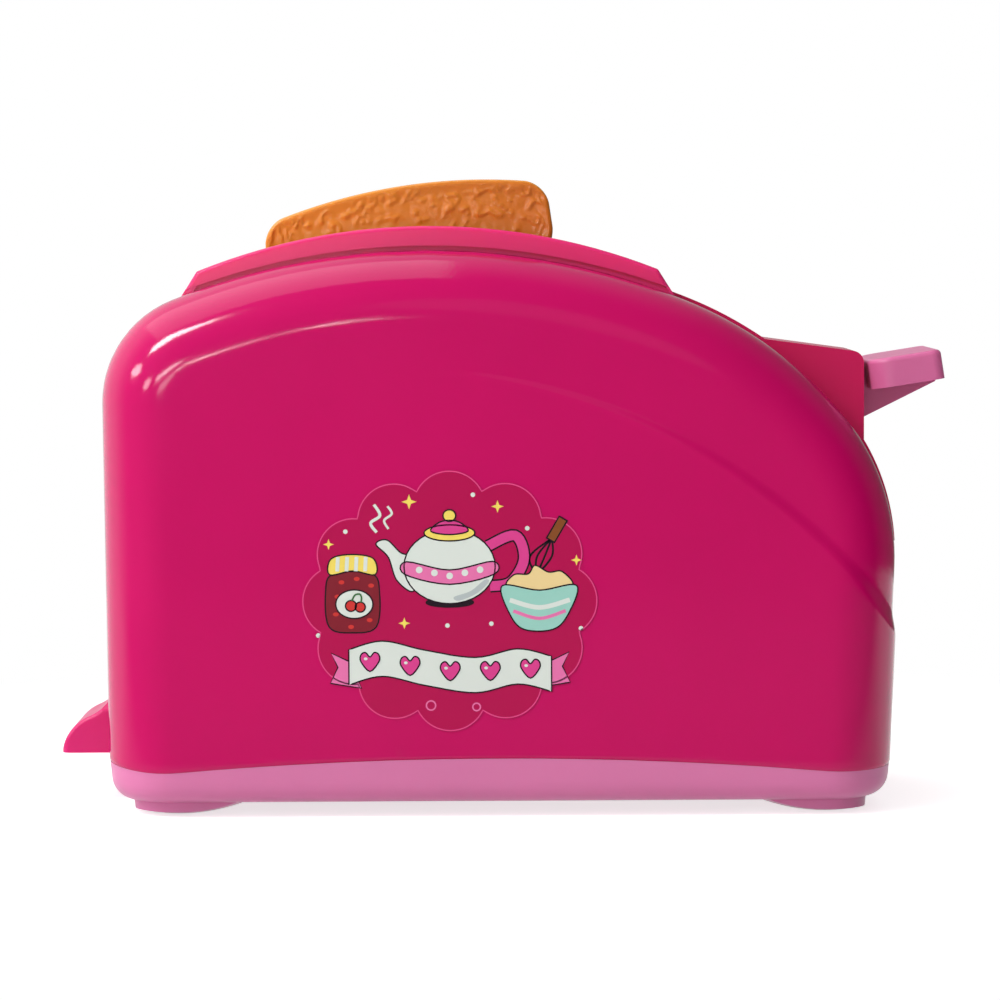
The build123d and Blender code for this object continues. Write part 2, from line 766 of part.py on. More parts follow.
def tail_bar():
    """The arm's tail, from the hub down to the catch peg."""
    run = (peg_place[0] - pivot[0], peg_place[1] - pivot[1])
    length = sqrt(run[0] ** 2 + run[1] ** 2)
    angle = degrees(atan2(run[1], run[0]))
    half = arm_thickness / 2
    bar = box_between((0, -half, -tail_width / 2), (length, half, tail_width / 2))
    bar = Location((pivot[0], 0, pivot[1]), (0, -angle, 0)) * bar
    return bar + cylinder_y(peg_place, tail_width / 2, -half, half)


def in_paddle_frame(solid):
    """Places a solid drawn with the paddle's upper right corner at the origin."""
    return Location((paddle_corner_place[0], 0, paddle_corner_place[1]), (0, -paddle_tilt, 0)) * solid


def lever_paddle():
    """The finger plate with its rib, a socket for the arm's neck and a seat for its screw."""
    plan = Pos(-paddle_length / 2, 0, -paddle_thickness) * Rectangle(paddle_length, paddle_width)
    plate = extrude(plan, amount=paddle_thickness)
    uprights = plate.edges().filter_by(Axis.Z).sort_by(Axis.X)
    plate = fillet(uprights[:2], paddle_plan_radius)
    uprights = plate.edges().filter_by(Axis.Z).sort_by(Axis.X)
    plate = fillet(uprights[-2:], plate_corner)
    plate = fillet(plate.faces().sort_by(Axis.Z)[-1].edges(), paddle_edge)
    paddle = in_paddle_frame(plate)
    top = paddle_corner_place[1] - paddle_thickness / 2
    heel_top = (rib_heel_place[0], top - rib_shoulder)
    rib_top = (rib_heel_place[0] + rib_shoulder, top)
    toe_top = (rib_toe_place[0], top)
    paddle += side_prism([rib_heel_place, rib_toe_place, toe_top, rib_top, heel_top], rib_width / 2)
    half = arm_thickness / 2 + neck_fit
    high = neck_height / 2 + neck_fit
    paddle -= in_arm_frame(box_between((0, -half, -high), (arm_length + neck_fit, half, high)))
    paddle -= paddle_tab(neck_fit)
    paddle -= in_paddle_frame(paddle_screw_bore(screw_hole_radius))
    head_radius = screw_head_radius + head_clearance
    below_head = cylinder_z(paddle_screw_x, 0, head_radius, -2 * paddle_length, paddle_screw_seat)
    return paddle - in_paddle_frame(below_head)


def fin_outline():
    """Side outline of the release lever's finger fin: hollow near the wall, round at the tip."""
    root = left_wall_x(fin_bottom) - fin_wall_gap
    foot = (root - fin_back_slant, fin_bottom)
    back = (root, release_pivot[1])
    hollow = (root - fin_hollow[0], (fin_top + fin_turn_place[1]) / 2 + fin_hollow[1])
    tip_top = (fin_tip_x, fin_bottom + fin_tip_height)
    tip_side = (
        (fin_turn_place[0] + fin_tip_x) / 2 - fin_round,
        (fin_turn_place[1] + tip_top[1]) / 2 + fin_round,
    )
    return [
        Line(foot, back),
        Line(back, (root, fin_top)),
        ThreePointArc((root, fin_top), hollow, fin_turn_place),
        ThreePointArc(fin_turn_place, tip_side, tip_top),
        Line(tip_top, (fin_tip_x, fin_bottom)),
        Line((fin_tip_x, fin_bottom), foot),
    ]


def release_lever():
    """The lever at the lower left: a fin outside, a stem through the wall and two prongs inside."""
    root = left_wall_x(fin_bottom) - fin_wall_gap
    fin = side_solid(fin_outline(), fin_width / 2)
    fin = fillet(fin.edges().filter_by(Axis.Z).sort_by(Axis.X)[:2], fin_corner)
    crown = Cylinder(fin_crown, beyond, rotation=(0, 90, 0))
    fin &= Pos(root, 0, fin_top - fin_crown) * crown
    upper = fin.faces().filter_by(Axis.Y).edges().filter_by(
        lambda e: e.center().Z > fin_bottom + fin_edge and e.center().X < root - fin_back_slant
    )
    fin = fillet(upper, fin_edge)
    half_stem = stem_width / 2
    stem_outer_x = root - fin_back_slant
    lever = fin + box_between((stem_outer_x, -half_stem, stem_bottom), (stem_inner_x, half_stem, stem_top))
    half = release_width / 2
    web_top = release_pivot[1] + release_pin_radius + wall
    lever += box_between((stem_inner_x - wall, -half, stem_bottom), (release_pivot[0], half, web_top))
    lever += cylinder_y(release_pivot, release_hub_radius, -half, half)
    prong_y = (prong_gap + prong_width) / 2
    for y in (-prong_y, prong_y):
        lever += Pos(0, y, 0) * prong()
    bore = release_pin_radius + pin_clearance
    return lever - cylinder_y(release_pivot, bore, -release_width, release_width)


def prong():
    """One prong of the release lever: it reaches over the catch peg and ends in a nose."""
    nose_low = peg_place[1] + peg_radius + nose_clearance
    back = peg_place[0] - peg_radius
    top = nose_low + prong_depth + nose_width / 2
    tip = peg_place[0] + nose_width + nose_clearance
    x, z = release_pivot
    root_half = release_pin_radius + wall
    points = [
        (x, z + root_half),
        (back - prong_depth / 2, top),
        (tip, top),
        (tip, nose_low),
        (tip - nose_width, nose_low),
        (tip - nose_width, nose_low + nose_width / 2),
        (back, nose_low + nose_width / 2),
        (x + wall / 2, z - root_half),
    ]
    return side_prism(points, prong_width / 2)


def pin(place, radius, length):
    """A steel pin across the toaster's middle plane."""
    return cylinder_y(place, radius, -length / 2, length / 2)


def coil(radius, wire, height, turns):
    """An open coil of round wire, from z = 0 up."""
    path = Helix(pitch=height / turns, height=height, radius=radius)
    section = Plane(origin=path @ 0, z_dir=path % 0) * RegularPolygon(wire, wire_sides)
    return sweep(section, path=path)


def return_spring():
    """The extension spring that lifts the carriage: a coil and two long side hooks."""
    middle = (return_hook_low + return_hook_high) / 2
    low = middle - return_coil_length / 2
    high = middle + return_coil_length / 2
    spring = Pos(0, 0, low) * coil(return_coil_radius, return_wire, return_coil_length, return_turns)
    for hook, end in ((return_hook_low, low), (return_hook_high, high)):
        bottom, top = sorted((hook, end))
        side_hook = cylinder_z(return_coil_radius, 0, return_wire, bottom, top)
        side_hook += Pos(return_coil_radius, 0, end) * Sphere(knuckle_radius)
        side_hook += Pos(0, 0, hook) * Torus(return_coil_radius, return_wire, rotation=(90, 0, 0))
        spring += side_hook
    return Pos(return_spring_x, return_spring_y, 0) * spring


def release_spring():
    """The small compression spring under the release lever."""
    low = base_bottom + base_floor + release_wire + parting_gap
    high = stem_bottom - release_wire - parting_gap
    turns = coil(release_coil_radius, release_wire, high - low, release_turns)
    return Pos(release_spring_x, 0, low) * turns


def screw(length):
    """A pan-head screw along Z: its seat is at the origin and the shank points down."""
    head = cylinder_z(0, 0, screw_head_radius, 0, screw_head_height)
    head = chamfer(head.edges().sort_by(Axis.Z)[-1], screw_head_height / 3)
    across = screw_head_radius
    recess = Box(recess_width, across, 2 * recess_depth) + Box(across, recess_width, 2 * recess_depth)
    head -= Pos(0, 0, screw_head_height) * recess
    return head + cylinder_z(0, 0, screw_radius, -length, 0)


def shell_screws():
    """The screws that draw the rear half to the front half."""
    turned = Rot(-90, 0, 0) * screw(shell_screw_length)
    return Part() + [Pos(x, shell_screw_seat, z) * turned for x, z in shell_boss_places]


def base_screws():
    """The screws that hold the base, from below."""
    flip = Rot(180, 0, 0) * screw(base_screw_length)
    return Part() + [Pos(x, y, base_seat) * flip for x, y in base_screw_places]


def rack_screws():
    """The screws through the rack's plate into the arm's posts."""
    upright = screw(rack_screw_length)
    return Part() + [in_slice_frame(Pos(x, 0, -rack_gap) * upright) for x in rack_post_offsets]


def paddle_screw():
    """The screw that holds the paddle on the arm's neck, from below."""
    flipped = Rot(180, 0, 0) * screw(paddle_screw_length)
    return in_paddle_frame(Pos(paddle_screw_x, 0, paddle_screw_seat) * flipped)


def spring_screw():
    """The screw that the return spring's upper hook hangs on."""
    turned = Rot(90, 0, 0) * screw(spring_screw_length)
    return Pos(return_spring_x, return_spring_y - spring_seat, return_hook_high) * turned


def front_sticker():
    """A scalloped vinyl label on the flat of the front half."""
    reach_x = sticker_length / 2 - scallop_radius
    reach_z = sticker_height / 2 - scallop_radius
    shape = Sketch() + Ellipse(reach_x + scallop_inset, reach_z + scallop_inset)
    for i in range(sticker_scallops):
        angle = radians(360 * i / sticker_scallops)
        shape += Pos(reach_x * cos(angle), reach_z * sin(angle)) * Circle(scallop_radius)
    face = Plane.XZ.offset(half_depth) * (Pos(*sticker_centre) * shape)
    return extrude(face, amount=sticker_thickness)


arm_run = (neck_end_place[0] - pivot[0], neck_end_place[1] - pivot[1])
arm_length = sqrt(arm_run[0] ** 2 + arm_run[1] ** 2)
arm_angle = degrees(atan2(arm_run[1], arm_run[0]))
paddle_screw_x = -paddle_length + tab_length / 2
paddle_screw_seat = -tab_depth - tab_height - rib_thickness

front_shell, rear_shell = housing_halves()
parts = {
    "front_shell": front_shell,
    "rear_shell": rear_shell,
    "base": base(),
    "slot_frame": slot_frame(),
    "lever_guide": lever_guide(),
    "carriage_arm": carriage_arm(),
    "toast_rack": toast_rack(),
    "toast_front": toast(-1),
    "toast_rear": toast(1),
    "lever_paddle": lever_paddle(),
    "release_lever": release_lever(),
    "carriage_pin": pin(pivot, pivot_pin_radius, pivot_pin_length),
    "release_pin": pin(release_pivot, release_pin_radius, release_pin_length),
    "return_spring": return_spring(),
    "release_spring": release_spring(),
    "shell_screws": shell_screws(),
    "base_screws": base_screws(),
    "rack_screws": rack_screws(),
    "paddle_screw": paddle_screw(),
    "spring_screw": spring_screw(),
    "front_sticker": front_sticker(),
}
os.makedirs("parts", exist_ok=True)
for name, solid in parts.items():
    export_step(solid, f"parts/{name}.step")
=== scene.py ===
import math

import bmesh
import bpy
import numpy as np
from mathutils import Matrix, Vector, noise
from mathutils.bvhtree import BVHTree

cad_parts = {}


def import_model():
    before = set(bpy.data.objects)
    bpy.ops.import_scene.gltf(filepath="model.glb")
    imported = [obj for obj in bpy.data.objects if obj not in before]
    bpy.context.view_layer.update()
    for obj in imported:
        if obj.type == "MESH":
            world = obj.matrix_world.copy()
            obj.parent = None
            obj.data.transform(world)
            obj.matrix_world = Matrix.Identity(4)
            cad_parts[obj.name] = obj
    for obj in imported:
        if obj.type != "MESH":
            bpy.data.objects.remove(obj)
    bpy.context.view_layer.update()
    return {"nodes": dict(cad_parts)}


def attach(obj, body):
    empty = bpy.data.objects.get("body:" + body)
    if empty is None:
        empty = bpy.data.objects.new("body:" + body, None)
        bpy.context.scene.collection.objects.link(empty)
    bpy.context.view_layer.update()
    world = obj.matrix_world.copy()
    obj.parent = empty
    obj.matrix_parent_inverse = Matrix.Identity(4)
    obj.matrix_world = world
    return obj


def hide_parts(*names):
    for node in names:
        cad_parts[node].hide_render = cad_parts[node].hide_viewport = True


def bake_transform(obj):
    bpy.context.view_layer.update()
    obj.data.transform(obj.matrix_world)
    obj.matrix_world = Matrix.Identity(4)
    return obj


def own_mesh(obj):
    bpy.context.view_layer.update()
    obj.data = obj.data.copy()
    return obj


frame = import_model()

# Looks of the toy toaster. Sizes of meshes are in millimetres and become metres when a mesh is made.
# Lamps, the springs' anchors and lengths inside materials are in metres, and angles are in degrees.
MM = 0.001
nodes = frame["nodes"]

# ---- the housing's side outline, as in the solids ----
HALF_DEPTH = 46.0
EDGE_RADIUS = 16.0
LEFT_LEAN = 0.5
RIGHT_LEAN = 2.5
SHOULDER = ((-69.0, 98.6), 26.5)
CROWN_RADIUS = 167.0
SLOPE_RADIUS = 95.5
NOSE_RADIUS = 53.5
SHOULDER_END = 111.5
CROWN_END = 67.8
SLOPE_END = 39.4
SEAM_CENTRE = (-2.0, -885.6)
SEAM_RADIUS = 900.0
SEAM_TURN_X = (-76.0, 74.0)   # where the joint's ends begin to turn up
SEAM_END_RADII = (60.0, 120.0)
WALL = 2.0
PARTING = 0.06                # half the gap between the two halves

# ---- the panel set back above the curved step ----
FADE_X = -17.5
STEP_CENTRE = (-27.0, -42.4)
STEP_RADIUS = 149.7
STEP_DEPTH = 1.4              # in the front and rear faces
END_DEPTH = 1.0               # in the right end wall
STEP_RUN = 119.6              # the depth is reached this far right of the fade
STEP_SOFTNESS = (0.5, 1.6)    # half the rounded step's width at the fade, and what it gains over the run

# ---- the housing's mesh ----
SKIN_COLUMNS = 44
EDGE_STEPS = 14               # round the front edge
SIDE_ROWS = (27.0, 23.0, 19.0, 14.0, 9.0, 4.0, 1.0, 0.5, PARTING)    # distances from the middle plane
WALL_HEIGHTS = (7.0, 60.0, 4.0)    # start, end and pitch of the rows below the arcs
ROW_GAP = 0.25                # rows closer than this are left out
# rows across the rounded step, as shares of half its width, and heights of rows over the joint with the base
STEP_ROWS = (-1.6, -1.0, -0.8, -0.6, -0.4, -0.2, 0.0, 0.2, 0.4, 0.6, 0.8, 1.0, 1.6)
SEAM_ROWS = (0.0, 0.15, 0.35, 0.9)
SEAM_TURN = 0.28              # how far the skin turns in at the joint with the base
PARTING_TURN = 0.22           # and at the joint of the halves
TURN_REACH = 0.6
PARTING_ZONE = 0.9            # nearer the middle plane than this, the skin turns in
SIDE_ZONE = 25.0              # nearer the middle plane than this, points keep their depth
SHARP_ANGLE = 35.0
MERGE_DISTANCE = 0.01
SPLIT_MARGIN = 1e-4           # edges aren't split nearer their ends than this share of their length

# ---- openings and bosses ----
SLOT_FRAME_CUT = ((-71.0, -21.95), (36.1, 21.95), 117.0)    # two corners, and the height that it starts at
GUIDE_CUT = (46.0, 14.2, 65.6)                              # x, half width and height that it starts at
WINDOW_CUT = (-80.0, 13.4, 13.8, 25.0)                      # x, half width, bottom and top
REAR_SCREWS = ((-82.0, 104.0), (50.0, 106.0), (80.0, 30.0), (0.0, 28.0), (-83.5, 66.0))
SCREW_RECESS = 3.2            # radius
SCREW_HOLE = 1.5              # radius
SCREW_SEAT = 8.0              # distance from the middle plane
BOSS_RADIUS = 4.4
BOSS_SIDES = 28
BOSS_PROBE = 20.0             # rays that look for the wall start this far from the middle plane
BOSS_PROBE_PITCH = 30         # degrees from one ray to the next, round the boss
DRILL_SIDES = 40
# place, radius, bore and distance from the middle plane
PIN_BOSSES = (((-85.0, 46.0), 4.0, 2.05, 6.4), ((-80.0, 17.0), 3.5, 1.55, 10.4))

# ---- fillings at the slot frame's ends ----
FRAME_CORNER = (55.5, 130.03)      # the frame's upper end corner: from its middle, and its height
FRAME_END_SLOPE = 32.0
FRAME_SIDE = 25.99                 # a little less than half the frame's width
END_FILL = ((-1, 3.0), (1, 1.0))   # how far in from the left and the right end the set-back is filled
END_FILL_LIFT = (-0.3, 1.25)       # bottom and top of the filling over the crown
END_FILL_INSET = 0.01
GUIDE_START = 61.5                 # where the lever guide's band starts, from the frame's middle
GUIDE_START_LENGTH = 2.5
GUIDE_LIFT = (-0.3, 0.49)
GUIDE_SIDE = 15.99
BLOCK_FACES = ((0, 1, 2, 3), (4, 5, 6, 7), (0, 1, 5, 4), (1, 2, 6, 5), (2, 3, 7, 6), (3, 0, 4, 7))

# ---- slices ----
SLICE_TILT = 8.5
SLICE_FOOT = (-14.4, 87.1)
SLICE_Y = 13.25
SLICE_HALF = 4.5
SLICE_WAIST = 31.5
SLICE_SHOULDER = 34.8
SLICE_WIDENS = (38.0, 11.0)        # height where the waist ends, and over what height it widens
SLICE_HEIGHT = 64.0
SLICE_CROWN = 135.0
SLICE_FOOT_RADIUS = 4.0
SLICE_CORNER = 5.3
SLICE_BEVEL = 1.1
SLICE_RIND = 3.4
SLICE_SINK = 0.5                   # how far the face lies inside the rind
SLICE_ROWS = 130
SLICE_COLUMNS = 150
SLICE_CROWDING = (1.25, 1.15)      # how much columns and rows crowd towards the edges
SLICE_MARGIN = 0.01
BUMPS_START = (0.5, 1.2)           # distance from the outline where bumps start, and over what run
WRINKLE, HOLLOW, GRAIN = 0.5, 0.14, 0.05    # heights
WRINKLE_WIDTH = 0.15               # a wrinkle runs where its noise is nearer zero than this
WRINKLE_SHARPNESS = 1.3
PATCHES = (0.75, 1.8)              # middle and swing of the share of the wrinkles that shows
BEND, WANDER = 3.0, 1.2            # how far wrinkles wind at long and at short range
# the noises' scales across and up the slice, and their layers
WAVES = {
    "bend": (0.13, 0.13, 0.0),
    "wander": (0.4, 0.4, 3.0),
    "wrinkle": (0.42, 0.2, 5.0),
    "grain": (1.3, 1.3, 7.0),
    "patch": (0.24, 0.3, 9.0),
    "hollow": (0.5, 0.45, 11.0),
}

# ---- label ----
LABEL_CENTRE = (-12.3, 52.0)
LABEL_FRONT = -46.2
LABEL_REACH = (26.4, 22.4)
LABEL_INSET = 2.0
LABEL_SCALLOP = 8.6
LAYER = 0.02                       # how far each printed layer stands in front of the last
INK = 0.34                         # width of the drawn outlines
EDGE_HIGHLIGHT = (0.2, 0.3)             # a paler line inside the label's cut edge, a painted highlight: how far inside, and how wide
SCALLOP_PITCH = 30                 # degrees from one scallop to the next
OUTLINE_PITCH = 1.5                # and from one point of the outline to the next
STAR_WAIST = 0.36                  # share of a star's size
PRINT_ROUGHNESS = 0.22
PRINT_VARIATION = 0.02

# ---- materials ----
PLASTIC_IOR = 1.5
GLOW_COLOUR = (1.0, 0.35, 0.5)
GLOW_DEPTH = 0.004
TINT_NOISE = (22.0, 3.0)           # scale and detail
GLOSS_NOISE = (75.0, 5.0)
GLOSS_SPREAD = (0.8, 1.25)
GRAIN_DETAIL = 2.0
GRAIN_DEPTH = 0.0006
METAL_NOISE = (600.0, 2.0)
METAL_SPREAD = (0.7, 1.4)
PAINTED_SHADE_RUN = (-0.045, 0.02)         # painted shade: the slices grow browner and darker towards the right between these places, where less light falls
PAINTED_SHADE_SHARE = 0.8
PAINTED_RIM_TURN = (0.85, 0.4)             # Y parts of a slice's normals where the rim's paler colour, a painted highlight, starts and is full

# ---- camera, floor and light ----
CAMERA_PLACE = (-0.3, -1000.0, 137.6)
CAMERA_DOWN = 3.7
CAMERA_ROLL = -0.3
SENSOR_WIDTH = 36.0
LENS = 145.65
LEFT_LIGHT = 1.23                  # strength of the diffuse light from the far left and the far right
RIGHT_LIGHT = 0.05
ROOM_GLOSS = (0.28, 0.0)           # what gloss mirrors in front of the object, from left to right
BACKDROP_GLOSS = (1.0, 0.12)       # and behind it
BACKDROP_REACH = 0.5               # it changes within this of the middle
BEHIND_REACH = 0.25                # and gloss turns from the one to the other within this of the middle
WHITE = (1, 1, 1, 1)
FLOOR_RADIUS = 600.0
FLOOR_SIDES = 72
FLOOR_COLOUR = (0.8, 0.8, 0.8, 1)
FLOOR_ROUGHNESS = 0.95
FLOOR_SPECULAR = 0.1
FLOOR_LIFT = 0.7                   # light that the floor gives off to the camera
FLOOR_FADE = (0.13, 0.3)           # the floor turns plain white between these distances
FLOOR_BEHIND = (-0.12, 0.0)        # the mirrored floor turns white between these places
FLOOR_GLOSS = 0.2                  # its strength in front of them
# name, place, aim, direction of its width, width, height, power, and shape if it isn't a rectangle
LAMPS = (
    ("streak", (-0.55, -0.47, 0.712), (-0.075, -0.044, 0.115), (0.374, -0.067, 0.229), 0.44, 0.14, 3.8,
     "ELLIPSE"),
    ("overhead", (-0.4, 0.05, 1.05), (-0.03, 0, 0.12), (1, 0, 0), 0.9, 0.9, 2.6),
    ("front", (0.126, -0.94, 0.52), (0, -0.046, 0.1), (1, 0, 0), 0.46, 0.42, 0.08, "ELLIPSE"),
    ("glint", (-0.175, -0.94, 0.17), (-0.065, -0.046, 0.108), (1, 0, 0), 0.06, 0.006, 0.1),
    ("small_glint", (-0.086, -0.942, 0.187), (-0.039, -0.046, 0.118), (1, 0, 0), 0.02, 0.008, 0.06),
)
# small glints on the front left shoulder, which light nothing: place, aim, direction, width, height, power
SHOULDER_GLINTS = (
    ((-0.866, -0.376, 0.41), (-0.086, -0.0435, 0.107), (0.369, -0.866, 0), 0.26, 0.13, 1.0),
    ((-0.361, -0.89, 0.24), (-0.079, -0.046, 0.107), (0.938, -0.313, 0), 0.26, 0.05, 0.45),
    ((-0.64, -0.735, 0.245), (-0.0835, -0.045, 0.104), (0.77, -0.64, 0.1), 0.16, 0.09, 0.3),
    ((-0.286, -0.921, 0.136), (-0.0796, -0.046, 0.1037), (0.973, -0.229, 0), 0.18, 0.045, 0.1),
)


def polar(centre, radius, angle):
    """The point at a radius and an angle in degrees from a centre."""
    turn = math.radians(angle)
    return (centre[0] + radius * math.cos(turn), centre[1] + radius * math.sin(turn))


def smooth_share(value):
    """A smooth ramp from 0 to 1."""
    t = min(1.0, max(0.0, value))
    return t * t * (3 - 2 * t)


CROWN = (polar(SHOULDER[0], SHOULDER[1] - CROWN_RADIUS, SHOULDER_END), CROWN_RADIUS)
SLOPE = (polar(CROWN[0], CROWN_RADIUS - SLOPE_RADIUS, CROWN_END), SLOPE_RADIUS)
NOSE = (polar(SLOPE[0], SLOPE_RADIUS - NOSE_RADIUS, SLOPE_END), NOSE_RADIUS)


# ---- meshes ----
def linked(name, data):
    """A new object in the scene."""
    made = bpy.data.objects.new(name, data)
    bpy.context.scene.collection.objects.link(made)
    return made


def mesh_object(name, points, faces, smooth=True):
    """A mesh object from points in millimetres."""
    mesh = bpy.data.meshes.new(name)
    mesh.from_pydata([tuple(c * MM for c in p) for p in points], [], faces)
    mesh.validate()
    mesh.polygons.foreach_set("use_smooth", [smooth] * len(mesh.polygons))
    return linked(name, mesh)


def bm_object(name, bm, smooth=True):
    """A mesh object from a bmesh in millimetres."""
    bmesh.ops.scale(bm, vec=(MM, MM, MM), verts=bm.verts)
    mesh = bpy.data.meshes.new(name)
    bm.to_mesh(mesh)
    bm.free()
    mesh.polygons.foreach_set("use_smooth", [smooth] * len(mesh.polygons))
    return linked(name, mesh)


def apply_modifiers(piece):
    """Bakes a piece's modifiers into its mesh."""
    graph = bpy.context.evaluated_depsgraph_get()
    mesh = bpy.data.meshes.new_from_object(piece.evaluated_get(graph))
    piece.modifiers.clear()
    piece.data = mesh
    mesh.set_sharp_from_angle(angle=math.radians(SHARP_ANGLE))


def split_where(bm, level):
    """Cuts the mesh's edges and faces along the line where level(point) is zero."""
    value = {v: level(v.co) for v in bm.verts}
    crossing = [e for e in bm.edges if value[e.verts[0]] * value[e.verts[1]] < 0]
    fresh = []
    for edge in crossing:
        a, b = edge.verts
        share = value[a] / (value[a] - value[b])
        if SPLIT_MARGIN < share < 1 - SPLIT_MARGIN:
            fresh.append(bmesh.utils.edge_split(edge, a, share)[1])
    bmesh.ops.connect_verts(bm, verts=fresh, check_degenerate=False)


def delete_where(bm, inside):
    """Deletes the faces whose middle satisfies a test."""
    doomed = [f for f in bm.faces if inside(f.calc_center_median())]
    bmesh.ops.delete(bm, geom=doomed, context="FACES")


# ---- housing ----
def inset_x(z, side):
    """Where the side outline, shrunk by the edge radius, is at a height, and its outward normal."""
    radius = SHOULDER[1] - EDGE_RADIUS
    if side < 0:
        centre = SHOULDER[0]
        top = polar(centre, radius, 180 + LEFT_LEAN)
        if z <= top[1]:
            lean = math.radians(LEFT_LEAN)
            return top[0] + (top[1] - z) * math.tan(lean), (-math.cos(lean), -math.sin(lean))
        if z > polar(centre, radius, SHOULDER_END)[1]:
            centre, radius = CROWN[0], CROWN_RADIUS - EDGE_RADIUS
    else:
        centre, radius = NOSE[0], NOSE_RADIUS - EDGE_RADIUS
        low = polar(centre, radius, -RIGHT_LEAN)
        if z <= low[1]:
            lean = math.radians(RIGHT_LEAN)
            return low[0] - (low[1] - z) * math.tan(lean), (math.cos(lean), -math.sin(lean))
        if z > polar(centre, radius, SLOPE_END)[1]:
            centre, radius = SLOPE[0], SLOPE_RADIUS - EDGE_RADIUS
        if z > polar(centre, radius, CROWN_END)[1]:
            centre, radius = CROWN[0], CROWN_RADIUS - EDGE_RADIUS
    up = (z - centre[1]) / radius
    across = side * math.sqrt(max(0.0, 1 - up * up))
    return centre[0] + across * radius, (across, up)


def outline_heights():
    """Heights of the mesh's rows, close together where either side of the outline curves."""
    inset = EDGE_RADIUS
    heights = list(np.arange(*WALL_HEIGHTS))
    # centre, radius, first and last angle, number of rows
    arcs = (
        (SHOULDER[0], SHOULDER[1] - inset, 180 + LEFT_LEAN, SHOULDER_END, 14),
        (CROWN[0], CROWN_RADIUS - inset, SHOULDER_END, 90, 12),
        (CROWN[0], CROWN_RADIUS - inset, 90, CROWN_END, 13),
        (SLOPE[0], SLOPE_RADIUS - inset, CROWN_END, SLOPE_END, 12),
        (NOSE[0], NOSE_RADIUS - inset, SLOPE_END, -RIGHT_LEAN, 16),
    )
    for centre, radius, start, end, rows in arcs:
        heights += [polar(centre, radius, a)[1] for a in np.linspace(start, end, rows)]
    kept = []
    for z in sorted(heights):
        if not kept or z - kept[-1] > ROW_GAP:
            kept.append(z)
    kept[-1] = CROWN[0][1] + CROWN_RADIUS - inset
    return kept


def full_skin():
    """The front half's outer skin without the set-back panel, as a bmesh, up to the parting plane."""
    bm = bmesh.new()
    grid = []
    rim = []
    for z in outline_heights():
        (left, left_normal), (right, right_normal) = inset_x(z, -1), inset_x(z, 1)
        row = []
        for k in range(SKIN_COLUMNS + 1):
            x = left + (right - left) * k / SKIN_COLUMNS
            row.append(bm.verts.new((x, -HALF_DEPTH, z)))
        grid.append(row)
        rim.append(((left, z), left_normal, (right, z), right_normal))
    for low, high in zip(grid, grid[1:]):
        for k in range(SKIN_COLUMNS):
            bm.faces.new((low[k], low[k + 1], high[k + 1], high[k]))
    loop = [(p, n, row[0]) for (p, n, _, _), row in zip(rim, grid)]
    loop[-1] = (rim[-1][0], (0.0, 1.0), grid[-1][0])
    loop += [(p, n, row[-1]) for (_, _, p, n), row in zip(rim[-2::-1], grid[-2::-1])]
    turns = [math.radians(90 * k / EDGE_STEPS) for k in range(1, EDGE_STEPS + 1)]
    sections = [
        (EDGE_RADIUS * math.sin(a), HALF_DEPTH - EDGE_RADIUS + EDGE_RADIUS * math.cos(a)) for a in turns
    ]
    sections += [(EDGE_RADIUS, y) for y in SIDE_ROWS]
    previous = [v for _, _, v in loop]
    for out, y in sections:
        ring = [bm.verts.new((p[0] + n[0] * out, -y, p[1] + n[1] * out)) for p, n, _ in loop]
        for k in range(len(ring) - 1):
            bm.faces.new((previous[k], previous[k + 1], ring[k + 1], ring[k]))
        previous = ring
    bmesh.ops.remove_doubles(bm, verts=bm.verts, dist=MERGE_DISTANCE)
    bmesh.ops.recalc_face_normals(bm, faces=bm.faces)
    return bm


def step_run(point):
    """How far a point lies along the step, from 0 at the fade to 1 where its depth is reached."""
    return min(1.0, max(0.0, (point.x - FADE_X) / STEP_RUN))


def step_share(point):
    """From -1 to 1 across the rounded step, outwards."""
    distance = math.hypot(point.x - STEP_CENTRE[0], point.z - STEP_CENTRE[1]) - STEP_RADIUS
    return distance / (STEP_SOFTNESS[0] + STEP_SOFTNESS[1] * step_run(point))


def sunk(point, normal):
    """How far the set-back panel lies inside the full form at a point."""
    end = END_DEPTH * max(0.0, normal.x) if point.x > FADE_X else 0.0
    return Vector((-normal.x * end, -normal.y * STEP_DEPTH * step_run(point), -normal.z * end))


def seam_height_at(x):
    """Height of the joint with the base: a long arch with ends that turn up."""
    height = SEAM_CENTRE[1] + math.sqrt(SEAM_RADIUS**2 - (x - SEAM_CENTRE[0]) ** 2)
    for turn_x, radius, side in zip(SEAM_TURN_X, SEAM_END_RADII, (-1, 1)):
        if (x - turn_x) * side > 0:
            turn = 90 + math.degrees(math.asin((SEAM_CENTRE[0] - turn_x) / SEAM_RADIUS))
            end_x, end_z = polar(SEAM_CENTRE, SEAM_RADIUS + radius, turn)
            height = end_z - math.sqrt(radius**2 - (x - end_x) ** 2)
    return height


def over(point, offset):
    """How far a point lies above the joint with the base."""
    return point.z - seam_height_at(point.x) - offset


def cut_openings(bm):
    """Opens the skin for the slot frame, the lever guide and the release lever."""
    (x0, y0), (x1, _), low = SLOT_FRAME_CUT
    guide_x, guide_y, guide_z = GUIDE_CUT
    window_x, window_y, window_low, window_high = WINDOW_CUT
    cuts = ((0, x0), (0, x1), (1, y0), (1, -guide_y), (0, guide_x), (2, guide_z))
    cuts += ((1, -window_y), (2, window_low), (2, window_high))
    for axis, place in cuts:
        split_where(bm, lambda p: p[axis] - place)
    delete_where(bm, lambda p: x0 < p.x < x1 and p.y > y0 and p.z > low)
    delete_where(bm, lambda p: p.x > guide_x and p.y > -guide_y and p.z > guide_z)
    delete_where(bm, lambda p: p.x < window_x and p.y > -window_y and window_low < p.z < window_high)


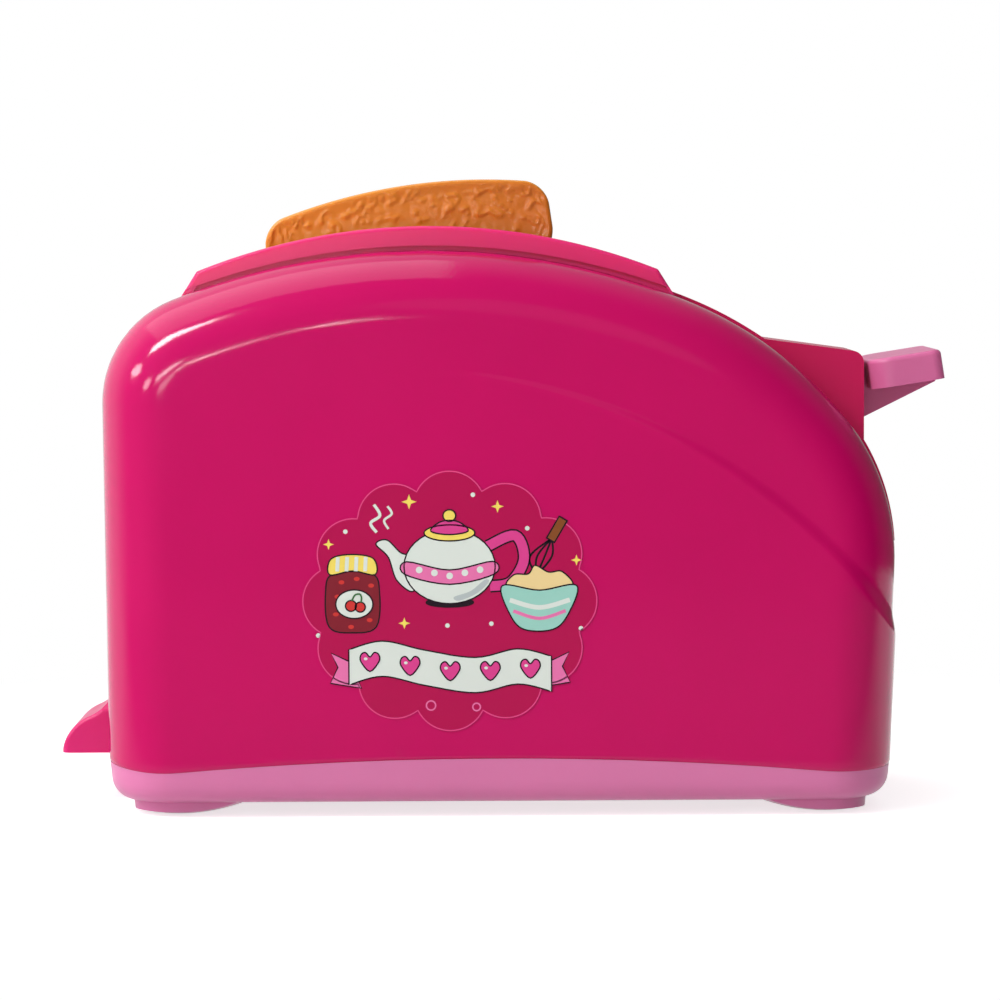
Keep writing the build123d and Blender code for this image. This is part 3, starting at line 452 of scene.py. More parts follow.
def shape_skin(bm):
    """Sinks the panel, rounds the edges at the joints and trims the skin at the base."""
    for share in STEP_ROWS:
        split_where(bm, lambda p: step_share(p) - share)
    for offset in SEAM_ROWS:
        split_where(bm, lambda p: over(p, offset))
    delete_where(bm, lambda p: over(p, 0.0) < 0)
    bm.normal_update()
    moves = []
    for vert in bm.verts:
        point, normal = vert.co, vert.normal
        share = smooth_share((step_share(point) + 1) / 2)
        turn = SEAM_TURN * (1 - smooth_share(over(point, 0.0) / TURN_REACH))
        if abs(point.y) < PARTING_ZONE:
            turn += PARTING_TURN * (1 - smooth_share((abs(point.y) - PARTING) / TURN_REACH))
        moves.append(sunk(point, normal) * share - normal * turn)
    for vert, move in zip(bm.verts, moves):
        keep_y = vert.co.y
        vert.co += move
        if abs(keep_y) < SIDE_ZONE:
            vert.co.y = keep_y


def tube(bm, place, radius, bore, low, high):
    """A hollow boss along Y."""
    rings = []
    for r, y in ((radius, low), (radius, high), (bore, high), (bore, low)):
        ring = []
        for k in range(BOSS_SIDES):
            x, z = polar(place, r, 360 * k / BOSS_SIDES)
            ring.append(bm.verts.new((x, y, z)))
        rings.append(ring)
    for a, b in zip(rings, rings[1:] + rings[:1]):
        for k in range(BOSS_SIDES):
            after = (k + 1) % BOSS_SIDES
            bm.faces.new((a[k], a[after], b[after], b[k]))


def shell(name, side):
    """One housing half: a skin with a wall and its openings, and a piece with its bosses."""
    bm = full_skin()
    shape_skin(bm)
    cut_openings(bm)
    if side > 0:
        bmesh.ops.scale(bm, vec=(1, -1, 1), verts=bm.verts)
        bmesh.ops.reverse_faces(bm, faces=bm.faces)
    skin = BVHTree.FromBMesh(bm)
    bosses = bmesh.new()

    def boss(place, radius, bore, near):
        """A boss from a distance beside the middle plane to the middle of the wall."""
        wall_y = min(
            abs(skin.ray_cast(Vector((x, side * BOSS_PROBE, z)), Vector((0, side, 0)))[0].y)
            for x, z in (polar(place, radius, angle) for angle in range(0, 360, BOSS_PROBE_PITCH))
        )
        low, high = sorted((side * near, side * (wall_y - WALL / 2)))
        tube(bosses, place, radius, bore, low, high)

    for place in REAR_SCREWS:
        if side > 0:
            boss(place, BOSS_RADIUS, SCREW_RECESS, SCREW_SEAT)
            tube(bosses, place, BOSS_RADIUS, SCREW_HOLE, PARTING, SCREW_SEAT)
        else:
            boss(place, BOSS_RADIUS, SCREW_HOLE, PARTING)
    for pin_boss in PIN_BOSSES:
        boss(*pin_boss)
    made = bm_object(name, bm)
    wall = made.modifiers.new("wall", "SOLIDIFY")
    wall.thickness = WALL * MM
    wall.offset = -1
    wall.use_even_offset = False
    apply_modifiers(made)
    return made, bm_object(name + "_bosses", bosses)


def drill_rear(piece):
    """Opens the rear half over its screw bosses."""
    bm = bmesh.new()
    for place in REAR_SCREWS:
        corners = [polar(place, SCREW_RECESS, 360 * k / DRILL_SIDES) for k in range(DRILL_SIDES)]
        near, far = (
            [bm.verts.new((x, y, z)) for x, z in corners]
            for y in (HALF_DEPTH - 3 * WALL, HALF_DEPTH + WALL)
        )
        for k in range(DRILL_SIDES):
            after = (k + 1) % DRILL_SIDES
            bm.faces.new((near[k], near[after], far[after], far[k]))
        bm.faces.new(near)
        bm.faces.new(far)
    bmesh.ops.recalc_face_normals(bm, faces=bm.faces)
    cutter = bm_object("cutter", bm, smooth=False)
    cut = piece.modifiers.new("holes", "BOOLEAN")
    cut.operation = "DIFFERENCE"
    cut.solver = "EXACT"
    cut.object = cutter
    apply_modifiers(piece)
    bpy.data.objects.remove(cutter)


# ---- fillings at the slot frame's ends ----
def crown_blocks(name, blocks):
    """Blocks that rest on the crown: side, outer end at each height, length, heights and half width."""
    bm = bmesh.new()
    for side, outs, length, lifts, half in blocks:
        low, high = [
            [(u, math.sqrt((CROWN_RADIUS + lift) ** 2 - u**2)) for u in (out, out - length)]
            for out, lift in zip(outs, lifts)
        ]
        corners = [
            bm.verts.new((CROWN[0][0] + side * u, y, CROWN[0][1] + w))
            for y in (-half, half)
            for u, w in low + high[::-1]
        ]
        for face in BLOCK_FACES:
            bm.faces.new([corners[k] for k in face])
    bmesh.ops.recalc_face_normals(bm, faces=bm.faces)
    return bm_object(name, bm, smooth=False)


def frame_end_at(lift):
    """How far from its middle the slot frame's leaning end lies, at a height over the crown."""
    slope = math.radians(FRAME_END_SLOPE)
    corner = (FRAME_CORNER[0], FRAME_CORNER[1] - CROWN[0][1])
    lead = corner[0] * math.sin(slope) - corner[1] * math.cos(slope)
    run = -lead - math.sqrt(lead**2 - corner[0] ** 2 - corner[1] ** 2 + (CROWN_RADIUS + lift) ** 2)
    return corner[0] + run * math.sin(slope)


def frame_ends():
    """Fills the set-back under the slot frame at its ends, where the photo shows none."""
    outs = [frame_end_at(lift) - END_FILL_INSET for lift in END_FILL_LIFT]
    blocks = [(side, outs, length, END_FILL_LIFT, FRAME_SIDE) for side, length in END_FILL]
    return crown_blocks("frame_ends", blocks)


def guide_start():
    """Carries the lever guide's band on to the slot frame's foot, as in the photo."""
    block = (1, (GUIDE_START, GUIDE_START), GUIDE_START_LENGTH, GUIDE_LIFT, GUIDE_SIDE)
    return crown_blocks("guide_start", [block])


# ---- slices ----
def slice_half_width(height):
    """Half of a slice's width at a height above its foot."""
    share = smooth_share((height - SLICE_WIDENS[0]) / SLICE_WIDENS[1])
    half = SLICE_WAIST + (SLICE_SHOULDER - SLICE_WAIST) * share
    if height < SLICE_FOOT_RADIUS:
        half -= SLICE_FOOT_RADIUS - math.sqrt(SLICE_FOOT_RADIUS**2 - (SLICE_FOOT_RADIUS - height) ** 2)
    return half


def slice_top(x):
    """Height of a slice's upper edge above its foot, with its rounded corners."""
    top = SLICE_HEIGHT - SLICE_CROWN + math.sqrt(SLICE_CROWN**2 - x * x)
    past = abs(x) - (SLICE_SHOULDER - SLICE_CORNER)
    if past > 0:
        top -= SLICE_CORNER - math.sqrt(max(0.0, SLICE_CORNER**2 - min(past, SLICE_CORNER) ** 2))
    return top


def crumb(x, z, seed):
    """Bumps of the baked face, in millimetres: wrinkles that run mostly upwards, hollows and grain."""

    def waves(kind, across=x, up=z):
        """Smooth noise of a kind at a place."""
        scale_across, scale_up, layer = WAVES[kind]
        return noise.noise(Vector((across * scale_across, up * scale_up, seed + layer)))

    bend = waves("bend") * BEND
    wander = waves("wander") * WANDER
    crest = waves("wrinkle", x + bend + wander, z + wander)
    wrinkle = max(0.0, 1 - abs(crest) / WRINKLE_WIDTH) ** WRINKLE_SHARPNESS
    patch = smooth_share(PATCHES[0] + PATCHES[1] * waves("patch"))
    return WRINKLE * wrinkle * patch + HOLLOW * waves("hollow") + GRAIN * waves("grain")


def face_point(i, k, seed):
    """A grid point of a slice's face: its place across and up the slice, and its depth in the face."""
    u = 2 * k / SLICE_COLUMNS - 1
    u = math.copysign(1 - (1 - abs(u)) ** SLICE_CROWDING[0], u)
    v = 1 - (1 - i / SLICE_ROWS) ** SLICE_CROWDING[1]
    z = v * slice_top(u * (slice_half_width(v * SLICE_HEIGHT) - SLICE_MARGIN))
    x = u * (slice_half_width(z) - SLICE_MARGIN)
    inside = max(0.0, min(slice_half_width(z) - abs(x), slice_top(x) - z, z))
    drop = SLICE_BEVEL - math.sqrt(max(0.0, SLICE_BEVEL**2 - max(0.0, SLICE_BEVEL - inside) ** 2))
    bumps = smooth_share((inside - BUMPS_START[0]) / BUMPS_START[1]) * crumb(x, z, seed)
    return x, z, drop + max(0.0, SLICE_SINK * smooth_share(inside / SLICE_RIND) - bumps)


def slice_piece(name, node, side):
    """A moulded slice: a smooth rind all round and a bumpy face on either side."""
    rows, columns = SLICE_ROWS, SLICE_COLUMNS
    tilt = math.radians(SLICE_TILT)
    points = []
    faces = []
    index = {}
    for face_side in (-1, 1):
        for i in range(rows + 1):
            for k in range(columns + 1):
                x, z, depth = face_point(i, k, side * 3.0 + face_side)
                index[face_side, i, k] = len(points)
                points.append((
                    SLICE_FOOT[0] + x * math.cos(tilt) - z * math.sin(tilt),
                    side * SLICE_Y + face_side * (SLICE_HALF - depth),
                    SLICE_FOOT[1] + x * math.sin(tilt) + z * math.cos(tilt),
                ))
        for i in range(rows):
            for k in range(columns):
                quad = [index[face_side, *at] for at in ((i, k), (i, k + 1), (i + 1, k + 1), (i + 1, k))]
                faces.append(quad if face_side < 0 else quad[::-1])
    border = [(i, 0) for i in range(rows)] + [(rows, k) for k in range(columns)]
    border += [(i, columns) for i in range(rows, 0, -1)] + [(0, k) for k in range(columns, 0, -1)]
    for a, b in zip(border, border[1:] + border[:1]):
        faces.append((index[-1, *a], index[-1, *b], index[1, *b], index[1, *a]))
    made = mesh_object(name, points, faces)
    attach(made, "front_slice" if side < 0 else "rear_slice")
    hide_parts(node)
    return made


# ---- springs ----
def copied(node, name):
    """A copy of a CAD node's mesh as a piece that stands for it."""
    made = linked(name, nodes[node].data.copy())
    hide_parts(node)
    return made


# ---- label artwork ----
artwork = {}    # the faces of each colour


def add_face(colour, layer, points):
    """Adds one flat face in the label's own frame, counter-clockwise seen from the front."""
    area = sum(a[0] * b[1] - b[0] * a[1] for a, b in zip(points, points[1:] + points[:1]))
    ordered = points if area > 0 else points[::-1]
    artwork.setdefault(colour, []).append([(u, layer, v) for u, v in ordered])


def curve(knots, closed=True, steps=7):
    """A smooth curve through some points."""
    count = len(knots)
    made = []
    for i in range(count if closed else count - 1):
        if closed:
            a, b, c, d = (Vector(knots[(i + k) % count]) for k in (-1, 0, 1, 2))
        else:
            a, b, c, d = (Vector(knots[min(max(i + k, 0), count - 1)]) for k in (-1, 0, 1, 2))
        for k in range(steps):
            t = k / steps
            made.append(tuple(0.5 * (
                2 * b + (c - a) * t + (2 * a - 5 * b + 4 * c - d) * t**2 + (3 * b - a - 3 * c + d) * t**3
            )))
    if not closed:
        made.append(tuple(knots[-1]))
    return made


def oval(centre, across, up, count=36):
    """Points of an ellipse."""
    turns = np.radians(np.linspace(0, 360, count, endpoint=False))
    return [(centre[0] + across * math.cos(t), centre[1] + up * math.sin(t)) for t in turns]


def stroke(colour, layer, line, width=INK, closed=False):
    """A drawn line of even width."""
    count = len(line)
    sides = []
    for i, point in enumerate(line):
        if closed:
            before, after = line[i - 1], line[(i + 1) % count]
        else:
            before, after = line[max(i - 1, 0)], line[min(i + 1, count - 1)]
        run = Vector(after) - Vector(before)
        across = Vector((-run.y, run.x)).normalized() * width / 2
        sides.append((tuple(Vector(point) + across), tuple(Vector(point) - across)))
    pairs = list(zip(sides, sides[1:] + sides[:1])) if closed else list(zip(sides, sides[1:]))
    for (a, b), (c, d) in pairs:
        add_face(colour, layer, [a, b, d, c])


def curved_stroke(colour, layer, knots, width):
    """A drawn line along an open curve."""
    stroke(colour, layer, curve(knots, closed=False), width)


def shape(colour, layer, outline):
    """A flat colour with a drawn outline."""
    add_face(colour, layer, outline)
    stroke("ink", layer + 1, outline, closed=True)


def heart(centre, size):
    """Points of a heart."""
    half = [(0.95, 0.05), (0.9, 0.75), (0.45, 0.95)]
    knots = [(0, -1.0), *half, (0, 0.5), *[(-x, y) for x, y in reversed(half)]]
    return curve([(centre[0] + x * size, centre[1] + y * size) for x, y in knots], steps=4)


def star(centre, size):
    """Points of a four-pointed star."""
    return [polar(centre, size if k % 2 == 0 else size * STAR_WAIST, 45 * k + 90) for k in range(8)]


def draw_teapot():
    """A white teapot with a yellow rim and a curl of steam."""
    handle = [(9, 13), (15.5, 15.5), (17.6, 10), (14.5, 4.5), (9.5, 3.5)]
    curved_stroke("ink", 1, handle, 3.1)
    curved_stroke("pink", 2, handle, 2.3)
    spout = [(-8.5, 2.5), (-12.5, 5), (-14.5, 10.5), (-17.4, 13.6), (-14.8, 14.6), (-11.6, 11.6), (-8.5, 10)]
    shape("white", 1, curve(spout))
    shape("white", 3, oval((0, 8.2), 10.8, 8.8))
    band = [(-10.2, 9.4), (0, 7.4), (10.2, 9.4), (10.6, 6.4), (0, 4.0), (-10.6, 6.4)]
    shape("rose", 4, curve(band, steps=5))
    for u in (-7.2, -3.6, 0, 3.6, 7.2):
        add_face("white", 5, oval((u, 6.0 + abs(u) * 0.2), 0.8, 0.8, count=14))
    shade = [(6.5, 1.9), (9.3, 4.6), (8.2, 5.0), (5.0, 2.4), (1.0, 1.0), (2.2, 0.1)]
    add_face("shade", 4, curve(shade, steps=4))
    shape("yellow", 5, oval((0, 16.2), 6.0, 1.9))
    lid = [(-4.4, 16.6), (-2.6, 18.6), (0, 19.2), (2.6, 18.6), (4.4, 16.6), (0, 15.8)]
    shape("pink", 6, curve(lid, steps=5))
    shape("yellow", 7, oval((0, 20.3), 1.5, 1.4, count=20))
    shape("ink", 1, oval((0, -0.3), 5.6, 1.1))
    curved_stroke("white", 3, [(-17.2, 16.4), (-18.6, 18.6), (-16.4, 20.4), (-17.8, 23.0)], 0.7)
    curved_stroke("white", 3, [(-14.4, 17.2), (-15.4, 19.2), (-13.6, 20.8), (-14.6, 22.6)], 0.55)


def draw_jar():
    """A jar of jam with a striped lid."""
    glass = [(-28.6, -6), (-29.4, 2), (-27.6, 6.6), (-18.4, 6.6), (-16.6, 2), (-17.4, -6), (-23, -7.4)]
    shape("jam", 1, curve(glass, steps=6))
    for u, v in ((-27, -3), (-25.6, 4.6), (-19, -4.4), (-18.6, 3.8), (-22, 5.4), (-26.6, 1.2), (-23.4, -6)):
        add_face("red", 2, oval((u, v), 0.7, 0.5, count=12))
    shape("white", 3, oval((-22.6, -0.6), 4.4, 3.4))
    shape("red", 5, oval((-23.4, -1.0), 1.3, 1.3, count=18))
    shape("red", 5, oval((-21.2, -1.3), 1.2, 1.2, count=18))
    curved_stroke("leaf", 7, [(-23.2, 0.2), (-22.4, 1.6), (-21.2, 1.8)], 0.4)
    curved_stroke("leaf", 7, [(-21.0, -0.2), (-20.9, 1.0), (-21.2, 1.8)], 0.4)
    lid = [(-28.4, 6.4), (-28.0, 10.2), (-23, 11.2), (-18.0, 10.2), (-17.6, 6.4), (-23, 7.3)]
    shape("yellow", 3, curve(lid, steps=5))
    for u in (-26.6, -24.4, -22.2, -20.0):
        stroke("white", 5, [(u, 7.2), (u + 0.2, 10.6)], 0.9)


def draw_bowl():
    """A mixing bowl with batter and a whisk."""
    for lean in (-2.6, -0.9, 0.9, 2.6):
        curved_stroke("ink", 1, [(20.5, 6.0), (21.6 + lean, 10.5), (24.2, 14.8)], 0.5)
    stroke("ink", 2, [(23.8, 14.2), (27.0, 19.6)], 2.5)
    stroke("brown", 3, [(24.0, 14.5), (26.8, 19.3)], 1.8)
    batter = [(13.6, 3.4), (15.2, 6.2), (18.6, 6.4), (20.2, 8.4), (23.4, 6.8), (26.6, 6.9), (29.0, 3.4)]
    batter += [(21, 2.2)]
    shape("cream", 3, curve(batter))
    bowl = [(12.4, 3.6), (14.2, -3.2), (17.6, -6.8), (24.4, -6.8), (28.0, -3.2), (30.0, 3.6), (21.2, 2.5)]
    shape("mint", 5, curve(bowl))
    curved_stroke("white", 6, [(14.2, 0.2), (21.2, -1.6), (28.4, 0.2)], 1.1)
    curved_stroke("rose", 6, [(15.0, -2.4), (21.2, -4.2), (27.4, -2.4)], 0.8)


def draw_ribbon():
    """A wavy ribbon with hearts along it."""
    knots = [(-24, -11.4), (-16, -9.4), (-6, -11.6), (6, -13.4), (16, -11.4), (24, -13.2)]
    upper = curve(knots, closed=False)
    lower = [(u, v - 8.4) for u, v in upper]
    for side in (-1, 1):
        tail = ((24, -14.2), (28.2, -12.2), (26.6, -15.6), (28.4, -19.4), (21, -20.6))
        shape("rose", 1, [(u * side, v) for u, v in tail])
    shape("white", 3, upper + lower[::-1])
    for u, drop in ((-19, 0.0), (-9.5, 1.0), (0, 2.3), (9.5, 2.3), (19, 1.8)):
        shape("pink", 5, heart((u, -14.3 - drop), 2.3))
        add_face("white", 7, oval((u - 1.0, -13.6 - drop), 0.45, 0.35, count=10))


def draw_scatter():
    """Small stars, dots and rings between the motifs."""
    stars = ((-9.5, 23.6, 1.8), (11.4, 22.4, 1.5), (-28.6, 13.6, 1.3), (30.0, 9.6, 1.3), (-10.8, -5.2, 1.4))
    for u, v, size in stars:
        add_face("yellow", 1, star((u, v), size))
    dots = ((5.6, 25.2), (-31.2, -8.0), (31.0, -6.6), (9.8, -5.4), (18.4, 17.2), (-24.6, 16.6), (-0.6, -5.8))
    for place in dots:
        add_face("white", 1, oval(place, 0.55, 0.55, count=12))
    for place, size in (((-4.6, -24.8), 1.1), ((6.2, -25.2), 0.9)):
        stroke("rose", 1, oval(place, size, size, count=20), closed=True)


def label_outline(inset):
    """The label's scalloped outline, moved inwards."""
    turns = np.radians(range(0, 360, SCALLOP_PITCH))
    centres = [Vector((LABEL_REACH[0] * math.cos(t), LABEL_REACH[1] * math.sin(t))) for t in turns]
    across, up = (reach + LABEL_INSET for reach in LABEL_REACH)
    made = []
    for degree in np.arange(0, 360, OUTLINE_PITCH):
        ray = Vector((math.cos(math.radians(degree)), math.sin(math.radians(degree))))
        reach = 1 / math.hypot(ray.x / across, ray.y / up)
        for centre in centres:
            along = ray.dot(centre)
            aside = LABEL_SCALLOP**2 - (centre.length_squared - along**2)
            if aside > 0:
                reach = max(reach, along + math.sqrt(aside))
        made.append(tuple(ray * (reach - inset)))
    return made


def label_prints():
    """The printed design: one flat piece for each colour."""
    draw_teapot()
    draw_jar()
    draw_bowl()
    draw_ribbon()
    draw_scatter()
    # a paler line just inside the cut edge: a painted highlight where the edge catches light
    stroke("edge", 1, label_outline(EDGE_HIGHLIGHT[0]), EDGE_HIGHLIGHT[1], closed=True)
    centre_x, centre_z = LABEL_CENTRE
    for colour, outlines in artwork.items():
        points = []
        faces = []
        for outline in outlines:
            faces.append(tuple(range(len(points), len(points) + len(outline))))
            points += [(centre_x + u, LABEL_FRONT - LAYER * layer, centre_z + v) for u, layer, v in outline]
        piece = mesh_object("label_print_" + colour, points, faces, smooth=False)
        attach(piece, "housing")
        look = plastic("print_" + colour, PRINT_COLOURS[colour], PRINT_ROUGHNESS, variation=PRINT_VARIATION)
        paint(piece, look)


# ---- materials ----
def srgb(red, green, blue):
    """Linear colour from the usual 0 to 255 values."""
    return tuple(((c / 255 + 0.055) / 1.055) ** 2.4 for c in (red, green, blue))


def paint(piece, material):
    """Gives a piece one material."""
    piece.data.materials.clear()
    piece.data.materials.append(material)


def add_node(tree, kind, inputs=(), **settings):
    """A shader node with some of its settings and inputs set."""
    made = tree.nodes.new("ShaderNode" + kind)
    for name, value in settings.items():
        setattr(made, name, value)
    for name, value in dict(inputs).items():
        made.inputs[name].default_value = value
    return made


def noise_value(tree, place, scale, detail):
    """A socket with a noise over places."""
    made = add_node(tree, "TexNoise", {"Scale": scale, "Detail": detail})
    tree.links.new(place, made.inputs["Vector"])
    return made.outputs["Fac"]


def ramp(tree, source, start, end, low=0.0, high=1.0, **settings):
    """A socket that goes from low to high while its source goes from start to end."""
    limits = {"From Min": start, "From Max": end, "To Min": low, "To Max": high}
    made = add_node(tree, "MapRange", limits, **settings)
    tree.links.new(source, made.inputs["Value"])
    return made.outputs["Result"]


def mix_colours(tree, share, first, second):
    """A socket between two colours, each a socket or a constant."""
    made = add_node(tree, "Mix", data_type="RGBA")
    tree.links.new(share, made.inputs["Factor"])
    for name, colour in (("A", first), ("B", second)):
        if isinstance(colour, tuple):
            made.inputs[name].default_value = (*colour, 1)
        else:
            tree.links.new(colour, made.inputs[name])
    return made.outputs["Result"]


def mix_shaders(tree, share, first, second):
    """A shader between two others, by a socket."""
    made = add_node(tree, "MixShader")
    for number, socket in enumerate((share, first, second)):
        tree.links.new(socket, made.inputs[number])
    return made.outputs[0]


def separate(tree, socket):
    """A vector's parts, by name."""
    made = add_node(tree, "SeparateXYZ")
    tree.links.new(socket, made.inputs[0])
    return made.outputs


def new_material(name):
    """A material with its node tree and its main shader."""
    made = bpy.data.materials.new(name)
    made.use_nodes = True
    return made, made.node_tree, made.node_tree.nodes["Principled BSDF"]


def plastic(name, colour, roughness, bump=0.02, glow=0.0, variation=0.06, grain=900.0):
    """Moulded plastic: a slightly uneven colour and gloss, and a fine mould texture."""
    made, tree, shader = new_material(name)
    shader.inputs["IOR"].default_value = PLASTIC_IOR
    shader.inputs["Subsurface Weight"].default_value = glow
    shader.inputs["Subsurface Radius"].default_value = GLOW_COLOUR
    shader.inputs["Subsurface Scale"].default_value = GLOW_DEPTH
    place = add_node(tree, "TexCoord").outputs["Object"]
    darker = tuple(c * (1 - variation) for c in colour)
    lighter = tuple(min(1.0, c * (1 + variation)) for c in colour)
    tint = mix_colours(tree, noise_value(tree, place, *TINT_NOISE), darker, lighter)
    tree.links.new(tint, shader.inputs["Base Color"])
    low, high = (roughness * share for share in GLOSS_SPREAD)
    gloss = ramp(tree, noise_value(tree, place, *GLOSS_NOISE), 0, 1, low, high)
    tree.links.new(gloss, shader.inputs["Roughness"])
    relief = add_node(tree, "Bump", {"Strength": bump, "Distance": GRAIN_DEPTH})
    tree.links.new(noise_value(tree, place, grain, GRAIN_DETAIL), relief.inputs["Height"])
    tree.links.new(relief.outputs["Normal"], shader.inputs["Normal"])
    return made


def paint_light_and_shade(material, rim, brown):
    """Colours a slice with painted light and shade: browner and darker towards the right end as painted
    shade, and a paler rim as a painted highlight.
    """
    tree = material.node_tree
    shader = tree.nodes["Principled BSDF"]
    crumb_colour = shader.inputs["Base Color"].links[0].from_socket
    place = add_node(tree, "TexCoord")
    along = separate(tree, place.outputs["Object"])["X"]
    # painted shade: browner and darker towards the right end, where less light falls
    painted_shade = mix_colours(tree, ramp(tree, along, *PAINTED_SHADE_RUN, high=PAINTED_SHADE_SHARE), crumb_colour, brown)
    # painted highlight: the rim, whose normals turn away from the faces, is paler as if lit
    facing = add_node(tree, "Math", operation="ABSOLUTE")
    tree.links.new(separate(tree, place.outputs["Normal"])["Y"], facing.inputs[0])
    painted_light_colour = mix_colours(tree, ramp(tree, facing.outputs[0], *PAINTED_RIM_TURN), painted_shade, rim)
    tree.links.new(painted_light_colour, shader.inputs["Base Color"])


def metal(name, colour, roughness):
    """Plated steel with faint drawing marks."""
    made, tree, shader = new_material(name)
    shader.inputs["Metallic"].default_value = 1.0
    shader.inputs["Base Color"].default_value = (*colour, 1)
    place = add_node(tree, "TexCoord").outputs["Object"]
    low, high = (roughness * share for share in METAL_SPREAD)
    gloss = ramp(tree, noise_value(tree, place, *METAL_NOISE), 0, 1, low, high)
    tree.links.new(gloss, shader.inputs["Roughness"])
    return made


PRINT_COLOURS = {
    "ink": srgb(34, 14, 30),
    "white": srgb(214, 222, 214),
    "shade": srgb(176, 186, 186),
    "pink": srgb(214, 60, 138),
    "rose": srgb(226, 112, 168),
    "yellow": srgb(238, 214, 96),
    "cream": srgb(232, 206, 146),
    "brown": srgb(132, 72, 30),
    "jam": srgb(128, 24, 40),
    "red": srgb(204, 48, 44),
    "mint": srgb(150, 204, 190),
    "leaf": srgb(60, 112, 62),
    # the edge line's paler pink is a painted highlight
    "edge": srgb(222, 66, 132),
}
housing_plastic = plastic("housing_plastic", srgb(192, 3, 92), 0.1, glow=0.05)
frame_plastic = plastic("frame_plastic", srgb(224, 44, 114), 0.22, glow=0.35)
guide_plastic = plastic("guide_plastic", srgb(200, 3, 84), 0.25, glow=0.08)
release_plastic = plastic("release_plastic", srgb(206, 6, 106), 0.3, glow=0.08)
base_plastic = plastic("base_plastic", srgb(213, 117, 166), 0.32, glow=0.08)
paddle_plastic = plastic("paddle_plastic", srgb(208, 102, 152), 0.32, glow=0.08)
toast_plastic = plastic("toast_plastic", srgb(221, 133, 34), 0.26, bump=0.1, glow=0.05, grain=700.0)
# the slices' pale rim colour is a painted highlight, and their brown right end is a painted shade
paint_light_and_shade(toast_plastic, rim=srgb(224, 152, 60), brown=srgb(194, 98, 26))
white_plastic = plastic("white_plastic", srgb(232, 226, 226), 0.4)
steel = metal("steel", (0.62, 0.62, 0.64), 0.3)
sticker_vinyl = plastic("sticker_vinyl", srgb(176, 10, 76), 0.12, variation=0.02)

LOOKS = {
    "base": base_plastic,
    "slot_frame": frame_plastic,
    "lever_guide": guide_plastic,
    "carriage_arm": white_plastic,
    "toast_rack": white_plastic,
    "lever_paddle": paddle_plastic,
    "release_lever": release_plastic,
    "carriage_pin": steel,
    "release_pin": steel,
    "shell_screws": steel,
    "base_screws": steel,
    "rack_screws": steel,
    "paddle_screw": steel,
    "spring_screw": steel,
    "front_sticker": sticker_vinyl,
}

# ---- pieces ----
for node, material in LOOKS.items():
    paint(nodes[node], material)

for name, node, side in (("slice_front", "toast_front", -1), ("slice_rear", "toast_rear", 1)):
    paint(slice_piece(name, node, side), toast_plastic)

front_half, front_bosses = shell("housing_front", -1)
rear_half, rear_bosses = shell("housing_rear", 1)
drill_rear(rear_half)
for piece, node in ((front_half, "front_shell"), (rear_half, "rear_shell")):
    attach(piece, "housing")
    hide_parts(node)
    paint(piece, housing_plastic)
for piece in (front_bosses, rear_bosses):
    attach(piece, "housing")
    paint(piece, housing_plastic)

return_spring = copied("return_spring", "spring_return")
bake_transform(return_spring)
release_spring = copied("release_spring", "spring_release")
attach(release_spring, "housing")
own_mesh(release_spring)
for piece in (return_spring, release_spring):
    paint(piece, steel)

label_prints()

for piece, material in ((frame_ends(), frame_plastic), (guide_start(), guide_plastic)):
    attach(piece, "housing")
    paint(piece, material)


# ---- camera, floor and light ----
def camera():
    """The camera at the photograph's place: level with the slots and a metre away."""
    data = bpy.data.cameras.new("camera")
    data.sensor_width = SENSOR_WIDTH
    data.lens = LENS
    made = linked("camera", data)
    pitch = Matrix.Rotation(math.radians(90 - CAMERA_DOWN), 4, "X")
    roll = Matrix.Rotation(math.radians(CAMERA_ROLL), 4, "Z")
    made.matrix_world = Matrix.Translation(Vector(CAMERA_PLACE) * MM) @ pitch @ roll
    bpy.context.scene.camera = made


def soft_box(name, place, aim, along, width, height, power, form="RECTANGLE", gloss=True, matt=True):
    """A studio lamp that faces a point, with its width along a direction."""
    data = bpy.data.lights.new(name, "AREA")
    data.shape = form
    data.size = width
    data.size_y = height
    data.energy = power
    made = linked(name, data)
    back = (Vector(place) - Vector(aim)).normalized()
    side = (Vector(along) - Vector(along).dot(back) * back).normalized()
    turn = Matrix((side, back.cross(side), back)).transposed()
    made.matrix_world = Matrix.Translation(place) @ turn.to_4x4()
    made.visible_glossy = gloss
    made.visible_diffuse = matt


def mirror_rays(tree, path):
    """A socket that is 1 for rays that are mirrored or pass through glass."""
    made = add_node(tree, "Math", operation="MAXIMUM")
    tree.links.new(path.outputs["Is Glossy Ray"], made.inputs[0])
    tree.links.new(path.outputs["Is Transmission Ray"], made.inputs[1])
    return made.outputs[0]


